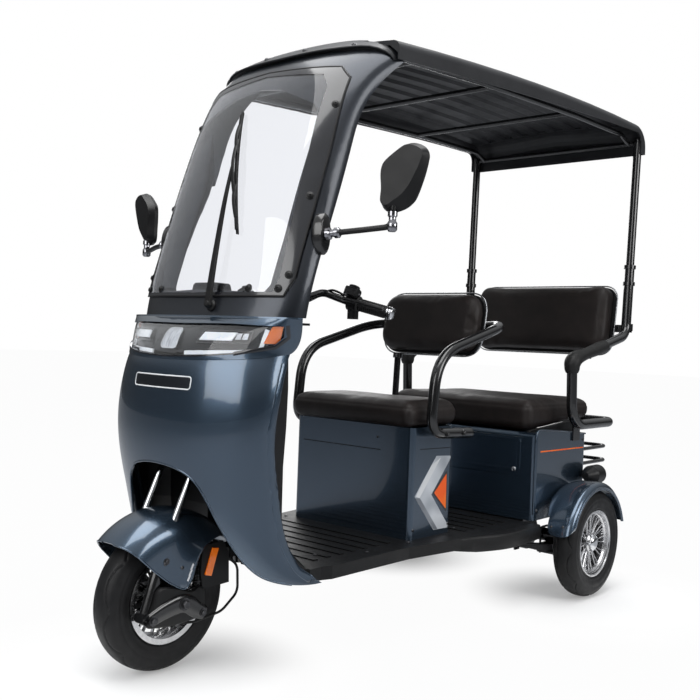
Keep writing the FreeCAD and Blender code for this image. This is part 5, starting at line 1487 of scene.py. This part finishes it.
def make_side_step(side):
    """Step beside the rear footwell, whose underside rises towards the front."""
    inner_x, front_y, middle_y, rise_length = 322, -664, -400, 110
    plan = [(inner_x, front_y), (334, -632), (354, -560), (384, -474), (394, middle_y), (390, -320),
            (381, -222)]
    smooth = curve_through([Vector(p) for p in plan], 6) + [Vector((inner_x, -222))]
    rows = []
    for inset, z in [(6, 219), (1.5, 221), (0, 225), (0, 264), (1.5, 268.5), (6, 270.6)]:
        row = []
        for x, y in smooth:
            under = 234 - 15 * min(max((y - front_y) / rise_length, 0.0), 1.0)
            row.append(at(side * max(x - inset, 320.0), y + inset * (1 if y < middle_y else -1) * 0.5,
                          max(z, under) if z < 230 else z))
        rows.append(row)
    return loft(rows)


def make_rear_details():
    """Side steps, fender beads, screws, tail lenses, bench rails, toe strip and instrument cowl."""
    steps, beads, screws, lenses, rims, rails = piles(6)
    fender, floor_top = surface("rear_fenders"), 271.0
    for side in SIDES:
        steps.add(make_side_step(side))
        beads.add(sweep(fender_edge(side), circle(3.0, 8)))
        for x, z in [(410, 264), (455, 270)]:
            screws.add(screw_on(fender, at(side * x, -260, z), BACK, 5.5, 0.1))
        lamp = at(side * 392, 171, 412)
        lenses.add(lathe([(0, 0), (30, 0), (30, 3), (27, 9), (20, 13), (10, 15.5), (0, 16)], lamp, BACK, 40))
        rims.add(ring([(30, 0), (35, 0), (35, 5), (32, 7), (30, 6)], lamp, BACK, 40))
        for radius, height in [(12, 14.5), (21, 12.2)]:
            rims.add(ring([(radius - 1, 9), (radius + 1, 9), (radius + 0.6, height),
                           (radius - 0.6, height + 0.2)], lamp, BACK, 36))
        for x, y in [(262, -814), (186, -1147), (98, -1175), (262, -1010), (225, -640), (225, -520)]:
            screws.add(*hex_bolt(at(side * x, y, floor_top), UP, 5.0, 3.4))
        rows = []
        for y in (-206, -204, -100, 0, 100, 148, 150):
            top = 586.0 + 0.0767 * (y + 215) - (4 if y in (-206, 150) else 0)
            rows.append([at(side * x, y, z) for x, z in [(306, 552), (306, top - 2), (308, top), (315, top),
                                                         (317, top - 2), (317, 552)]])
        rails.add(loft(rows))
    steps.piece("rear_side_steps", FLOOR_PLASTIC, 50)
    beads.piece("rear_fender_beads", PAINT, 60)
    screws.piece("fender_and_floor_screws", BOLT, 35)
    lenses.piece("tail_lenses", RED, 40)
    rims.piece("tail_lens_rims", PLASTIC, 40)
    rails.piece("rear_seat_rails", PLASTIC, 40)
    toe = sweep([at(-306, -214, 262), at(306, -214, 262)], [(-3, 0), (3, 0), (3, 44), (-3, 44)], up=UP)
    Pile(toe).piece("rear_toe_strip", PLASTIC, 50)
    foot = 986
    outline = rounded_outline([(-62, foot), (62, foot), (52, 1020), (-52, 1020)], 12.0)
    cowl = loft([[at(x * share, y, foot + (z - foot) * share) for x, z in outline]
                 for y, share in [(-1424, 0.9), (-1420, 1.0), (-1380, 1.0), (-1374, 0.9)]])
    Pile(cowl).piece("instrument_cowl", PLASTIC, 40)


make_cushions()
make_backrest_trim()
make_front_arms()
make_rear_arm_pads()
make_wheels()
make_fork_details()
make_front_guard()
make_lamps()
make_fairing_trim()
make_windshield_trim()
make_wiper()
make_box_trim()
make_roof_front()
make_mirror_details()
make_handlebar_details()
make_brake_hoses()
make_rear_details()
